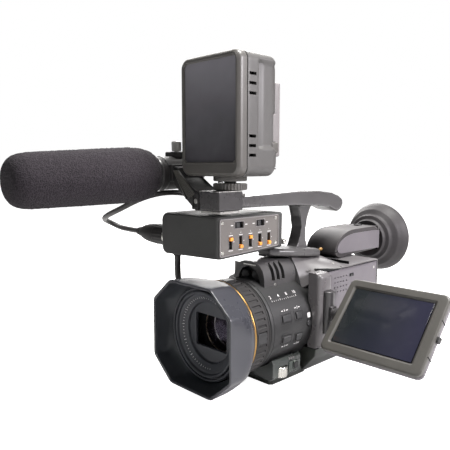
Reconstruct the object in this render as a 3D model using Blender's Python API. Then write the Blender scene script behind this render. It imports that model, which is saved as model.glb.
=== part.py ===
"""Hand-held video camera with a carrying handle, an audio adapter box, a shotgun microphone and a lamp.

The frame stands on the flat underside of the base: +Z is up, the lens looks along -Y, and +X is the side
with the flip-out screen. Sizes below are millimetres; MM turns them into Blender's metres.
"""

import math

import bmesh
import bpy
from mathutils import Matrix, Vector

MM = 0.001
GAP = 0.3  # air between pieces that touch
TURN = 2 * math.pi

# Driving dimensions
LENS_Z = 50.0  # height of the lens axis over the base
HOOD_FRONT_Y = -130.0
HOOD_HALF_W, HOOD_HALF_H = 47.8, 44.3
HOOD_REAR_Y = -97.4
BARREL_R = 40.3
BARREL_REAR_Y = -6.3
BODY_FRONT_Y, BODY_REAR_Y = -22.0, 77.0
WALL_Y, WALL_BACK_Y = -6.0, -1.0  # the wall that the barrel ends against
WALL_LEFT_X, WALL_RIGHT_X = 36.0, -30.0
REAR_Y = 80.5
BODY_LEFT_X, BODY_RIGHT_X = 46.0, -44.0
KEEL_TOP_Z, SHELL_TOP_Z = 25.7, 93.7
UPPER_X = 3.0  # centre line of the handle, the eyepiece and the lamp
SCREEN_W, SCREEN_H = 71.1, 53.3
PANEL_CENTRE = (103.7, -14.6, 61.7)
PANEL_TILT = math.radians(-43.8)
PANEL_PIVOT_DEPTH = 4.5
SWING_X, SWING_Y = 50.0, -12.0
VIEWFINDER_PIVOT = (UPPER_X, 51.0, 110.0)
BOX_LOW, BOX_HIGH = (-56.5, -114.5, 113.2), (17.4, -35.5, 147.3)
BOX_DROP, BOX_RISE = 2.4, 3.0  # the underside is lower at its far front corner, and climbs to the rear
PANEL_REAR_Y = -42.0
SWITCH_Y, SWITCH_PITCH = -100.2, 11.45
SLOT_LOW_Z, SLOT_HIGH_Z = 120.7, 130.7
SWITCH_UP_Z, SWITCH_DOWN_Z = 129.0, 122.2
SWITCH_UP = (True, False, True, False, False)
INPUT_SWITCH_Y = (-90.6, -65.3)
LAMP_LOW, LAMP_HIGH = (-33.4, -110.0, 179.0), (35.6, -62.0, 274.6)
LAMP_SEAM_Y = -100.4
LAMP_AXIS = (UPPER_X, -87.0)
WINDOW_LOW, WINDOW_HIGH = (-28.4, 190.5), (31.2, 269.4)
VENT_Z = (195.6, 202.9, 210.2, 242.4, 249.9, 257.1)
BOSS_LOW, BOSS_HIGH = (23.0, -68.0, 207.0), (29.0, -57.0, 229.4)
MIC_AXIS_X, MIC_AXIS_Z = -60.0, 181.2
MIC_TILT_Y = -100.0
MIC_TILT = math.radians(2.0)
PLUG_Y, PLUG_Z = -100.0, 124.6
MIC_CABLE_R, BOX_LEAD_R = 2.5, 2.8
DIAL_X, DIAL_Y = 33.2, -57.0
DIAL_BUTTON_Y, DIAL_BUTTON_Z = -40.5, 15.0
RECORD_X, RECORD_Z = -33.0, 76.0
ROCKER_X, ROCKER_Y = -34.0, 6.0
DISPLAY_BUTTON_Y, DISPLAY_BUTTON_R = -26.6, 2.6
EYE_Z_DROP = 3.0  # the eyecup's axis below the viewfinder's pivot
NOSE_R, NOSE_LENGTH, NOSE_CORNER = 13.4, 34.0, 218.0  # the viewfinder's front, its corner in degrees

# Each button on the barrel: its name, place along the lens, angle up from +X, length and height
BARREL_BUTTONS = [
    ("user_button_1", -56.0, 14.0, 10.4, 6.2), ("user_button_2", -39.4, 13.6, 7.6, 6.2),
    ("user_button_3", -56.0, -11.4, 10.4, 6.2), ("user_button_4", -39.4, -13.6, 7.6, 6.2),
]
FOOT_OUTLINE = [
    (7, -45), (13, -38), (17, -22), (19, 0), (18, 15), (12, 23.5),
    (-12, 23.5), (-18, 15), (-19, 0), (-17, -22), (-13, -38), (-7, -45),
]

# Free routes, as chosen points that a smooth curve runs through
MIC_CABLE_ROUTE = [
    (-60, -63, 182.4), (-60, -52, 182.2), (-60, -42, 177.5), (-60, -37.5, 168.5), (-60, -42, 160),
    (-60, -54, 155.5), (-60, -70, 158.5), (-61, -88, 163), (-65, -108, 163), (-75, -123, 158),
    (-95, -131, 148.5), (-118, -130, 141), (-133.5, -123.5, 136), (-140, -113, 131.5),
    (-136, -104, 126.4), (-124, -100.4, 124.8), (-111, -100, 124.6),
]
BOX_LEAD_ROUTE = [
    (-49, -101.5, 108.2), (-49.2, -101.5, 103), (-51, -100, 94.5), (-54.5, -96, 83), (-57, -88, 70),
    (-57, -76, 56), (-55, -62, 46), (-53, -52, 42.2), (-53, -47, 41.6), (-53, -43, 41.5),
]

PAINTS = {
    "charcoal": ((0.105, 0.100, 0.105), 0.48, 0.0),
    "barrel_black": ((0.050, 0.052, 0.055), 0.45, 0.0),
    "hood_black": ((0.042, 0.045, 0.055), 0.42, 0.0),
    "base_grey": ((0.085, 0.092, 0.085), 0.55, 0.0),
    "panel_grey": ((0.24, 0.23, 0.215), 0.45, 0.0),
    "bezel_grey": ((0.16, 0.15, 0.135), 0.42, 0.0),
    "lamp_grey": ((0.22, 0.21, 0.20), 0.5, 0.0),
    "box_black": ((0.085, 0.085, 0.086), 0.55, 0.0),
    "rubber_black": ((0.035, 0.033, 0.034), 0.75, 0.0),
    "foam_black": ((0.060, 0.052, 0.060), 0.95, 0.0),
    "cord_black": ((0.040, 0.038, 0.040), 0.5, 0.0),
    "gold": ((0.70, 0.42, 0.12), 0.3, 1.0),
    "silver": ((0.62, 0.61, 0.58), 0.3, 1.0),
    "glass": ((0.05, 0.06, 0.08), 0.05, 0.0),
    "lamp_window": ((0.10, 0.10, 0.11), 0.12, 0.0),
    "orange": ((0.85, 0.22, 0.03), 0.4, 0.0),
    "button_black": ((0.030, 0.030, 0.032), 0.5, 0.0),
    "board_green": ((0.03, 0.16, 0.08), 0.5, 0.0),
    "webbing": ((0.045, 0.043, 0.045), 0.9, 0.0),
    "battery_grey": ((0.080, 0.078, 0.080), 0.5, 0.0),
    "record_red": ((0.46, 0.03, 0.03), 0.4, 0.0),
}


# ---------------------------------------------------------------- tools

def clear_scene():
    for obj in list(bpy.data.objects):
        bpy.data.objects.remove(obj, do_unlink=True)


def paint(name):
    made = bpy.data.materials.get(name)
    if made:
        return made
    colour, roughness, metallic = PAINTS[name]
    made = bpy.data.materials.new(name)
    made.use_nodes = True
    shader = made.node_tree.nodes["Principled BSDF"]
    shader.inputs["Base Color"].default_value = (*colour, 1.0)
    shader.inputs["Roughness"].default_value = roughness
    shader.inputs["Metallic"].default_value = metallic
    made.diffuse_color = (*colour, 1.0)
    return made


def add(name, bm, finish, origin=(0.0, 0.0, 0.0)):
    """The object of a shape drawn in millimetres, with its origin at a place in millimetres."""
    bmesh.ops.recalc_face_normals(bm, faces=bm.faces)
    place = Vector(origin) * MM
    for vert in bm.verts:
        vert.co = vert.co * MM - place
    mesh = bpy.data.meshes.new(name)
    bm.to_mesh(mesh)
    bm.free()
    mesh.materials.append(paint(finish))
    mesh.shade_smooth()
    mesh.set_sharp_from_angle(angle=math.radians(35))
    obj = bpy.data.objects.new(name, mesh)
    obj.location = place
    bpy.context.scene.collection.objects.link(obj)
    return obj


def boolean(obj, bm, operation):
    helper = add(f"{obj.name}_{operation.lower()}_{len(obj.modifiers)}", bm, "charcoal")
    helper.hide_render = True
    helper.display_type = "WIRE"
    modifier = obj.modifiers.new(operation.title(), "BOOLEAN")
    modifier.operation = operation
    modifier.object = helper


def cut(obj, bm):
    boolean(obj, bm, "DIFFERENCE")


def join(obj, bm):
    boolean(obj, bm, "UNION")


def bevel(bm, edges, radius, segments):
    if radius > 0:
        bmesh.ops.bevel(
            bm, geom=list(edges), offset=radius, segments=segments, profile=0.5, affect="EDGES"
        )
    return bm


def block(low, high, radius=0.0, segments=2, along=""):
    """A box between two corners, its edges rounded, or only those that run along the named axes."""
    bm = bmesh.new()
    bmesh.ops.create_cube(bm, size=1.0)
    for vert in bm.verts:
        vert.co = Vector((b if c > 0 else a for a, b, c in zip(low, high, vert.co)))
    edges = bm.edges
    if along:
        axes = ["XYZ".index(letter) for letter in along]
        edges = [e for e in bm.edges if any(abs((e.verts[0].co - e.verts[1].co)[i]) > 1e-4 for i in axes)]
    return bevel(bm, edges, radius, segments)


def loft(rings):
    """A closed solid through rings of equally many points."""
    bm = bmesh.new()
    made = [[bm.verts.new(point) for point in ring] for ring in rings]
    for near, far in zip(made, made[1:]):
        for i in range(len(near)):
            j = (i + 1) % len(near)
            bm.faces.new((near[i], near[j], far[j], far[i]))
    bm.faces.new(made[0][::-1])
    bm.faces.new(made[-1])
    return bm


def prism(outline, axis, low, high, radius=0.0, segments=2):
    """An outline pushed along an axis; the outline's two numbers follow the other axes in X, Y, Z order."""
    spread = {"X": lambda a, b, h: (h, a, b), "Y": lambda a, b, h: (a, h, b), "Z": lambda a, b, h: (a, b, h)}
    rings = [[spread[axis](a, b, h) for a, b in outline] for h in (low, high)]
    bm = loft(rings)
    if radius > 0:
        index = "XYZ".index(axis)
        rims = [e for e in bm.edges if abs((e.verts[0].co - e.verts[1].co)[index]) < 1e-4]
        bevel(bm, rims, radius, segments)
    return bm


def turned(profile, axis, centre, segments=32, ribs=0, rib_depth=0.0):
    """A profile of (radius, height) turned round an axis; ends at radius 0 close it, else it is a ring.

    With ribs, every other point round the turn is pulled in by rib_depth where the radius allows.
    """
    spread = {"X": lambda c, s, h: (h, c, s), "Y": lambda c, s, h: (c, h, s), "Z": lambda c, s, h: (c, s, h)}
    bm = bmesh.new()
    widest = max(radius for radius, _ in profile)
    rows = []
    for radius, height in profile:
        if radius == 0:
            rows.append([bm.verts.new(Vector(spread[axis](0, 0, height)) + Vector(centre))])
            continue
        row = []
        for i in range(segments):
            angle = TURN * i / segments
            inset = rib_depth if ribs and radius > widest - 0.9 and i % 2 else 0.0
            reach = radius - inset
            point = spread[axis](reach * math.cos(angle), reach * math.sin(angle), height)
            row.append(bm.verts.new(Vector(point) + Vector(centre)))
        rows.append(row)
    pairs = list(zip(rows, rows[1:]))
    if len(rows[0]) > 1:
        pairs.append((rows[-1], rows[0]))
    for near, far in pairs:
        for i in range(segments):
            j = (i + 1) % segments
            corners = [near[i % len(near)], near[j % len(near)], far[j % len(far)], far[i % len(far)]]
            bm.faces.new(list(dict.fromkeys(corners)))
    return bm


def rod(radius, low, high, axis, centre, segments=20, edge=0.0):
    """A solid cylinder between two heights along an axis, its ends chamfered by edge."""
    profile = [
        (0, low), (radius - edge, low), (radius, low + edge), (radius, high - edge), (radius - edge, high),
    ]
    if edge == 0:
        profile = [(0, low), (radius, low), (radius, high)]
    return turned(profile + [(0, high)], axis, centre, segments)


def moved(bm, matrix):
    bmesh.ops.transform(bm, matrix=matrix, verts=bm.verts)
    return bm


def rounded_outline(low_a, low_b, high_a, high_b, radius, steps=4):
    """A rectangle's outline with round corners."""
    centres = [(high_a, high_b, 0), (low_a, high_b, 1), (low_a, low_b, 2), (high_a, low_b, 3)]
    points = []
    for a, b, quarter in centres:
        for i in range(steps + 1):
            angle = TURN / 4 * (quarter + i / steps)
            sign_a, sign_b = (1 if a == high_a else -1), (1 if b == high_b else -1)
            points.append(
                (a + radius * (math.cos(angle) - sign_a), b + radius * (math.sin(angle) - sign_b))
            )
    return points


def smooth_route(points, spacing):
    """Evenly spaced points on a centripetal curve through the given ones."""
    knots = [Vector(p) for p in points]
    knots = [2 * knots[0] - knots[1], *knots, 2 * knots[-1] - knots[-2]]
    dense = []
    for a, b, c, d in zip(knots, knots[1:], knots[2:], knots[3:]):
        for i in range(24):
            t = i / 24
            dense.append(
                b + 0.5 * ((c - a) * t + (2 * a - 5 * b + 4 * c - d) * t**2 + (3 * b - a - 3 * c + d) * t**3)
            )
    dense.append(knots[-2])
    travelled = [0.0]
    for near, far in zip(dense, dense[1:]):
        travelled.append(travelled[-1] + (far - near).length)
    count = max(2, round(travelled[-1] / spacing))
    route, j = [], 0
    for i in range(count + 1):
        goal = travelled[-1] * i / count
        while j < len(dense) - 2 and travelled[j + 1] < goal:
            j += 1
        step = travelled[j + 1] - travelled[j]
        route.append(dense[j].lerp(dense[j + 1], (goal - travelled[j]) / step))
    return route


def cord(name, points, radius, finish):
    route = smooth_route(points, 4.6 * radius)
    curve = bpy.data.curves.new(name, "CURVE")
    curve.dimensions = "3D"
    curve.bevel_depth = radius * MM
    curve.bevel_resolution = 2
    curve.use_fill_caps = True
    spline = curve.splines.new("POLY")
    spline.points.add(len(route) - 1)
    for point, place in zip(spline.points, route):
        point.co = (*(place * MM), 1.0)
    curve.materials.append(paint(finish))
    bpy.context.scene.collection.objects.link(bpy.data.objects.new(name, curve))


def mirrored_about_upper(half):
    """A half outline of (x from the upper centre line, z), from the bottom up, made whole."""
    right = [(UPPER_X + x, z) for x, z in half]
    left = [(UPPER_X - x, z) for x, z in reversed(half)]
    return right + left


# ---------------------------------------------------------------- lens

def hood_ring(y, inset, roundness, round_radius):
    """A ring of points that goes from the hood's octagon (roundness 0) to a circle (roundness 1)."""
    quarter = [0, 14, 27.3, 44, 60.5, 75, 90]
    degrees = quarter + [180 - a for a in quarter[-2::-1]]
    degrees += [180 + a for a in quarter[1:]] + [360 - a for a in quarter[-2:0:-1]]
    ring = []
    for degree in degrees:
        c, s = math.cos(math.radians(degree)), math.sin(math.radians(degree))
        sides = [HOOD_HALF_W / max(abs(c), 1e-6), HOOD_HALF_H / max(abs(s), 1e-6)]
        sides.append(50.0 / (0.652 * abs(c) + 0.758 * abs(s)))
        reach = (min(sides) - inset) * (1 - roundness) + round_radius * roundness
        ring.append((reach * c, y, LENS_Z + reach * s))
    return ring


def lens_hood():
    y = HOOD_FRONT_Y
    outer = [
        (y, 0.0, 0.0, 42.4), (y + 13, 0.4, 0.0, 42.4), (y + 22, 1.2, 0.25, 42.4),
        (y + 28, 2.0, 0.7, 42.4), (HOOD_REAR_Y, 2.5, 1.0, 42.3),
    ]
    inner = [
        (HOOD_REAR_Y, 5.0, 1.0, 40.2), (y + 19, 5.0, 1.0, 40.2),
        (y + 10, 3.6, 0.35, 40.2), (y, 2.2, 0.0, 40.2),
    ]
    bm = bmesh.new()
    rows = [[bm.verts.new(p) for p in hood_ring(*row)] for row in outer + inner]
    for near, far in zip(rows, rows[1:] + rows[:1]):
        for i in range(len(near)):
            j = (i + 1) % len(near)
            bm.faces.new((near[i], near[j], far[j], far[i]))
    add("lens_hood", bm, "hood_black")


def lens_mask():
    """The stepped front ring inside the hood, whose plate has a rectangular aperture."""
    profile = [
        (39.7, -112.0), (39.7, -95.4), (37.6, -95.4), (37.6, -104.0), (3.0, -104.0), (3.0, -106.5),
        (25.0, -106.5), (25.6, -109.0), (32.0, -112.6), (32.6, -114.8), (36.5, -115.6), (38.6, -115.0),
    ]
    obj = add("lens_mask", turned(profile, "Y", (0, 0, LENS_Z), 36), "hood_black")
    cut(obj, block((-18.6, -115, LENS_Z - 13.9), (18.6, -100, LENS_Z + 13.9)))


def lens_barrel():
    profile = [
        (36.0, -95.2), (36.0, -77.6), (39.0, -77.6), (39.0, -75.4),
        (BARREL_R, -74.8), (BARREL_R, BARREL_REAR_Y),
        (30.0, BARREL_REAR_Y), (30.0, -70.0), (27.0, -76.0), (27.0, -95.2),
    ]
    return add("lens_barrel", turned(profile, "Y", (0, 0, LENS_Z), 48), "barrel_black")


def lens_rings():
    gold = [(40.2, -97.1), (42.7, -97.1), (43.0, -95.9), (42.7, -94.6), (40.2, -94.6)]
    add("gold_ring", turned(gold, "Y", (0, 0, LENS_Z), 48), "gold")
    ring = [(36.4, -94.3), (41.0, -94.3), (41.6, -93.6), (41.6, -78.6), (41.0, -77.9), (36.4, -77.9)]
    bm = turned(ring, "Y", (0, 0, LENS_Z), 60, ribs=1, rib_depth=0.5)
    add("focus_ring", bm, "rubber_black", (0, -86, LENS_Z))


def front_lens():
    profile = [(0, -103.0), (10, -102.3), (18, -100.4), (24, -97.6), (24, -94.8), (12, -94.0), (0, -93.8)]
    add("front_lens", turned(profile, "Y", (0, 0, LENS_Z), 32), "glass")


def radial_frame(y, degrees):
    """A frame on the barrel's surface: its X points out of the barrel, its Y runs along the lens."""
    turn = Matrix.Rotation(-math.radians(degrees), 4, "Y")
    return Matrix.Translation((0, y, LENS_Z)) @ turn @ Matrix.Translation((BARREL_R, 0, 0))


def barrel_buttons(barrel):
    for name, y, degrees, length, height in BARREL_BUTTONS:
        frame = radial_frame(y, degrees)
        a, b = length / 2, height / 2
        button = block((-2.6, -a, -b), (1.3, a, b), 0.9)
        origin = frame.translation.copy()
        add(name, moved(button, frame), "button_black", origin)
        room = block((-4.6, -a - GAP, -b - GAP), (4, a + GAP, b + GAP))
        cut(barrel, moved(room, frame))
    frame = radial_frame(DISPLAY_BUTTON_Y, 0.0)
    button = rod(DISPLAY_BUTTON_R, -2.6, 0.9, "X", (0, 0, 0), 16, 0.4)
    add("display_button", moved(button, frame), "button_black", frame.translation.copy())
    cut(barrel, moved(rod(DISPLAY_BUTTON_R + GAP, -4.4, 3, "X", (0, 0, 0), 16), frame))


# ---------------------------------------------------------------- body

def base_plate():
    keel = [(-27, 0), (26, 0), (29, 1.2), (44, 19), (45, KEEL_TOP_Z)]
    keel += [(-43, KEEL_TOP_Z), (-42, 19), (-30, 1.2)]
    obj = add("base_plate", prism(keel, "Y", BODY_FRONT_Y, BODY_REAR_Y - 2, 1.2, 2), "base_grey")
    tongue = [(-22, -64.2), (27, -64.2), (29.6, -61.5), (29.6, -18), (-24.6, -18), (-24.6, -61.5)]
    join(obj, prism(tongue, "Z", 0, 6.2, 0.8, 2))
    cut(obj, barrel_room())


def barrel_room():
    return rod(BARREL_R + 0.35, -80, WALL_Y + GAP, "Y", (0, 0, LENS_Z), 48)


def light_path():
    return rod(14.0, -20, 5, "Y", (0, 0, LENS_Z), 24)


def dial_pod():
    outline = [
        (13, 6.6), (33.5, 6.6), (37, 9.5), (37.4, 22.4), (35.6, 24.6), (33.4, 24.6),
        (29, 20.2), (24, 15.6), (18, 12.0), (13, 10.4),
    ]
    obj = add("dial_pod", prism(outline, "Y", -70.0, -33.0, 1.4, 2), "base_grey")
    cut(obj, rod(7.1, 7.9, 17.9, "Z", (DIAL_X, DIAL_Y, 0), 28))
    cut(obj, rod(3.4, 33.2, 42, "X", (0, DIAL_BUTTON_Y, DIAL_BUTTON_Z), 18))
    wheel = [(0, 8.3), (5.9, 8.3), (6.7, 9.0), (6.7, 16.8), (5.9, 17.5), (0, 17.5)]
    bm = turned(wheel, "Z", (DIAL_X, DIAL_Y, 0), 40, ribs=1, rib_depth=0.3)
    add("iris_dial", bm, "silver", (DIAL_X, DIAL_Y, 13))
    bm = rod(3.0, 34.6, 38.8, "X", (0, DIAL_BUTTON_Y, DIAL_BUTTON_Z), 18, 0.5)
    add("dial_button", bm, "button_black", (36.7, DIAL_BUTTON_Y, DIAL_BUTTON_Z))


def left_shell():
    """The half with the screen: an open shell, a round hinge column in front, and speaker holes."""
    low = (GAP / 2, BODY_FRONT_Y, KEEL_TOP_Z + GAP)
    obj = add("left_shell", block(low, (BODY_LEFT_X, BODY_REAR_Y, SHELL_TOP_Z), 2.5, 2, "YZ"), "charcoal")
    cut(obj, block((-5, -40, 10), (WALL_LEFT_X, WALL_Y, 110)))
    low = (WALL_LEFT_X + 0.4, BODY_FRONT_Y, KEEL_TOP_Z + GAP)
    join(obj, block(low, (49.2, -4, SHELL_TOP_Z - 0.4), 4.4, 3))
    cut(obj, block((-5, WALL_BACK_Y, 31), (41, BODY_REAR_Y - 5, 89)))
    cut(obj, rod(5.8, 39.6, 78.4, "Z", (SWING_X, SWING_Y, 0), 28))
    cut(obj, barrel_room())
    cut(obj, light_path())
    for row in range(4):
        for file in range(5):
            cut(obj, rod(0.9, 44.0, 48.0, "X", (0, 4.0 + 4.6 * file, 73.0 + 4.4 * row), 6))


def right_shell():
    low = (BODY_RIGHT_X, BODY_FRONT_Y, KEEL_TOP_Z + GAP)
    obj = add("right_shell", block(low, (-GAP / 2, BODY_REAR_Y, SHELL_TOP_Z), 2.5, 2, "Y"), "charcoal")
    cut(obj, block((WALL_RIGHT_X, -40, 10), (5, WALL_Y, 110)))
    cut(obj, block((-39, WALL_BACK_Y, 31), (5, BODY_REAR_Y - 5, 89)))
    cut(obj, barrel_room())
    cut(obj, light_path())


def rear_shell():
    low = (BODY_RIGHT_X + 1, BODY_REAR_Y + GAP, 5.0)
    obj = add("rear_shell", block(low, (BODY_LEFT_X - 1, REAR_Y, SHELL_TOP_Z), 1.4, 2), "charcoal")
    cut(obj, rod(6.4, REAR_Y - 1.9, 90, "Y", (RECORD_X, 0, RECORD_Z), 24))
    button = rod(6.0, REAR_Y - 0.3, REAR_Y + 3.2, "Y", (RECORD_X, 0, RECORD_Z), 24, 0.8)
    add("record_button", button, "record_red", (RECORD_X, REAR_Y, RECORD_Z))


def top_cover():
    """The spine that falls to the rear, with the stereo microphone housing over the barrel."""
    rows = [(-21.6, 105.4), (25.0, 100.6), (29.0, 98.0), (33.0, 96.2), (BODY_REAR_Y, 96.2)]
    low = SHELL_TOP_Z + GAP
    rings = []
    for y, top in rows:
        shoulder = max(low + 1.4, top - 1.6)
        rings.append([
            (BODY_LEFT_X - 0.4, y, low), (BODY_LEFT_X, y, low + 1.2), (UPPER_X + 19, y, shoulder),
            (UPPER_X + 13, y, top), (UPPER_X - 13, y, top), (UPPER_X - 19, y, shoulder),
            (BODY_RIGHT_X, y, low + 1.2), (BODY_RIGHT_X + 0.4, y, low),
        ])
    obj = add("top_cover", loft(rings), "charcoal")
    arch = mirrored_about_upper([(18, 78), (18.4, 92), (17.0, 99.5), (12.5, 104), (6, 105.4)])
    join(obj, prism(arch, "Y", -64.0, -20.6, 1.0, 2))
    aprons = [mirrored_about_upper(half) for half in (
        [(31.0, 73.5), (31.6, 76.5), (12.5, 104.6)], [(32.0, 84.0), (32.4, 88.0), (12.5, 103.4)],
    )]
    join(obj, loft([[(x, y, z) for x, z in ring] for y, ring in zip((-21.4, WALL_Y - GAP), aprons)]))
    cut(obj, barrel_room())
    cut(obj, block((-60, WALL_Y - GAP, 60), (60, 3, low)))
    mouth = mirrored_about_upper([(12.5, 80), (12.5, 93), (9.5, 98.5), (4, 100.4)])
    cut(obj, prism(mouth, "Y", -70, -58.5))
    for i in range(3):
        y = -54.0 + 7.4 * i
        for side in (1, -1):
            x = sorted((UPPER_X + side * 13.6, UPPER_X + side * 22))
            cut(obj, block((x[0], y, 88.6), (x[1], y + 4.0, 101.6)))
    cut(obj, block((ROCKER_X - 5.4, ROCKER_Y - 13.6, 95.4), (ROCKER_X + 5.4, ROCKER_Y + 13.6, 110)))
    rocker = [(-13, 98), (-12, 101.4), (-5, 100.2), (5, 100.2), (12, 101.4), (13, 98), (5, 96.4), (-5, 96.4)]
    outline = [(ROCKER_Y + y, z) for y, z in rocker]
    bm = prism(outline, "X", ROCKER_X - 5, ROCKER_X + 5, 0.7, 2)
    add("zoom_rocker", bm, "button_black", (ROCKER_X, ROCKER_Y, 98))


def inner_pieces():
    add("prism_block", block((-14, 1, 36), (14, 29, 64), 2.0), "glass")
    add("main_board", block((20, 1, 34), (21.6, 70, 86)), "board_green")


def grip():
    low, high = (-66.0, -17.0, 12.0), (BODY_RIGHT_X - GAP, 74.0, 91.0)
    add("grip_cover", block(low, high, 7.0, 3, "Z"), "charcoal", (BODY_RIGHT_X - 1, 0, 12))
    outer, inner, pad = [], [], []
    for i in range(13):
        angle = math.pi * i / 12
        y = 29.5 - 44.0 * math.cos(angle)
        swell = math.sin(angle) ** 0.6 if 0 < i < 12 else 0.0
        outer.append((-68.6 - 24.0 * swell, y))
        inner.append((-66.4 - 24.0 * swell, y))
    for x, y in inner[2:-2]:
        pad.append((x + 0.4, y))
    add("hand_strap", prism(outer + inner[::-1], "Z", 38, 66), "webbing", (BODY_RIGHT_X - 1, 0, 12))
    back = [(x + 5.0, 29.5 + (y - 29.5) * 0.9) for x, y in pad]
    bm = prism(pad + back[::-1], "Z", 33, 71, 1.2, 2)
    add("strap_pad", bm, "webbing", (BODY_RIGHT_X - 1, 0, 12))


def battery():
    add("battery", block((-24, REAR_Y + GAP, 22), (26, REAR_Y + 25, 78), 3.0, 2), "battery_grey")


# ---------------------------------------------------------------- handle

def handle():
    """One casting: the shoe block in front, the bar with its hooked end, the post and its foot."""
    bar = [
        (-90, 162.5), (-55, 163.2), (-10, 164.6), (20, 164.0), (44, 161.4), (56, 158.4),
        (62.4, 154.4), (63, 149.4), (60, 144.2), (54, 141.6), (47, 143.4), (38, 147.4),
        (26, 150.0), (-20, 151.6), (-60, 152.6), (-90, 152.6),
    ]
    obj = add("handle", prism(bar, "X", UPPER_X - 12, UPPER_X + 12, 1.6, 2), "charcoal")
    foot_rings = []
    for height, grow in ((0.3, 0.0), (5.5, 0.0), (7.6, -2.0)):
        ring = []
        for x, y in FOOT_OUTLINE:
            side = 1 if x > 0 else -1
            reach = abs(x) + grow
            slope = 105.4 - (y + 21.6) * 0.103
            ring.append((UPPER_X + side * reach, y + (grow * 0.6 if y > 0 else -grow), slope + height))
        foot_rings.append(ring)
    join(obj, loft(foot_rings))
    toe = [(-43.5, 105.7), (-23.5, 105.7), (-23.5, 110.0), (-39.0, 112.0), (-42.5, 110.6)]
    join(obj, prism(toe, "X", UPPER_X - 8, UPPER_X + 8, 0.6))
    post = [
        (-8, 157), (-1.5, 149), (1.0, 140), (1.5, 130), (0.5, 122), (-3, 114.5), (-8, 108),
        (11, 104), (9, 111), (7.8, 118), (7.5, 128), (8.4, 138), (12, 147), (20, 157),
    ]
    join(obj, prism(post, "X", UPPER_X - 6.4, UPPER_X + 6.4, 1.4, 2))
    join(obj, block((UPPER_X - 12, -110.8, 151.5), (UPPER_X + 12, -84, 166.8), 1.2))
    x, y = LAMP_AXIS
    cut(obj, block((x - 9.4, -103, 162.2), (x + 9.4, -77, 165.0)))
    cut(obj, block((x - 6.4, -103, 164.0), (x + 6.4, -77, 170.0)))


# ---------------------------------------------------------------- screen and eyepiece

def panel_frame():
    return Matrix.Translation(PANEL_CENTRE) @ Matrix.Rotation(PANEL_TILT, 4, "X")


def panel_pivot():
    return panel_frame() @ Vector((0, PANEL_PIVOT_DEPTH, 0))


def screen():
    frame, pivot = panel_frame(), panel_pivot()
    rim = rounded_outline(-43.0, -36.0, 46.0, 35.6, 5.5)
    bezel = add("lcd_bezel", moved(prism(rim, "Y", -0.8, 3.4, 0.8, 2), frame), "bezel_grey", pivot)
    w, h = SCREEN_W / 2, SCREEN_H / 2
    cut(bezel, moved(block((-w, -5, -h), (w, 10, h)), frame))
    add("lcd_cover", moved(prism(rim, "Y", 3.7, 8.4, 1.8, 2), frame), "charcoal", pivot)
    glass = block((-w + GAP, 0.2, -h + GAP), (w - GAP, 3.0, h - GAP))
    add("lcd_glass", moved(glass, frame), "glass", pivot)
    knuckle = rod(5.4, 40, 78, "Z", (SWING_X, SWING_Y, 0), 24, 0.6)
    hinge = add("lcd_hinge_block", knuckle, "charcoal", (SWING_X, SWING_Y, 0))
    join(hinge, block((SWING_X, SWING_Y - 4, pivot.z - 6.5), (57, SWING_Y + 4, pivot.z + 6.5), 1.0))
    join(hinge, rod(5.2, 55.5, 60.4, "X", (0, pivot.y, pivot.z), 24, 0.5))


def eyepiece():
    x, y, z = VIEWFINDER_PIVOT
    corner = math.radians(NOSE_CORNER)
    corner_y, corner_z = y + NOSE_R * math.cos(corner), z + NOSE_R * math.sin(corner)
    roof = z + 13.0
    side = [(126, z - 12.4), (126, roof - 0.8), (110, roof)]
    for i in range(9):
        angle = TURN / 4 * (1 + i / 8)
        rise = (roof - corner_z) * math.sin(angle)
        side.append((corner_y + NOSE_LENGTH * (1 + math.cos(angle)), corner_z + rise))
    for i in range(1, 5):
        angle = corner + (TURN * 0.75 - corner) * i / 4
        side.append((y + NOSE_R * math.cos(angle), z + NOSE_R * math.sin(angle)))
    bm = prism(side, "X", x - 17.5, x + 17.5, 3.5, 3)
    obj = add("viewfinder_housing", bm, "charcoal", VIEWFINDER_PIVOT)
    axis = (x, 0, z - EYE_Z_DROP)
    join(obj, rod(13.0, 120, 133.0, "Y", axis, 24))
    cut(obj, rod(10.6, 112, 140, "Y", axis, 24))
    cup = [
        (13.4, 127.5), (19.5, 126.6), (21.5, 129.5), (24.5, 131.0), (26.0, 134.5),
        (31.5, 139.0), (36.2, 145.5),
        (38.2, 150.6), (36.6, 151.4), (34.0, 145.6), (29.0, 140.2), (22.0, 135.4), (13.4, 133.4),
    ]
    add("eyecup", turned(cup, "Y", axis, 30), "rubber_black", VIEWFINDER_PIVOT)
    lens = [(0, 126.6), (7, 127.0), (10.2, 128.6), (10.2, 130.6), (7, 131.6), (0, 132.2)]
    add("eyepiece_lens", turned(lens, "Y", axis, 20), "glass", VIEWFINDER_PIVOT)


# ---------------------------------------------------------------- audio box

def box_ring(y, size):
    """The audio box's outline at a place along it, shrunk towards its middle."""
    (x0, y0, z0), (x1, y1, z1) = BOX_LOW, BOX_HIGH
    t = (y - y0) / (y1 - y0)
    near, far = z0 + BOX_RISE * t, z0 + BOX_RISE * t - BOX_DROP * (1 - t)
    outline = [
        (x1, near + 2), (x1, z1 - 2), (x1 - 2, z1), (x0 + 8.5, z1), (x0 + 3, z1 - 1.6), (x0 + 0.5, z1 - 5.5),
        (x0, z1 - 9), (x0, far + 8), (x0 + 0.9, far + 3.6), (x0 + 3.5, far + 1),
        (x0 + 7.5, far), (x1 - 2, near),
    ]
    middle_x, middle_z = (x0 + x1) / 2, (z0 + z1) / 2
    return [(middle_x + (x - middle_x) * size, y, middle_z + (z - middle_z) * size) for x, z in outline]


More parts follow.
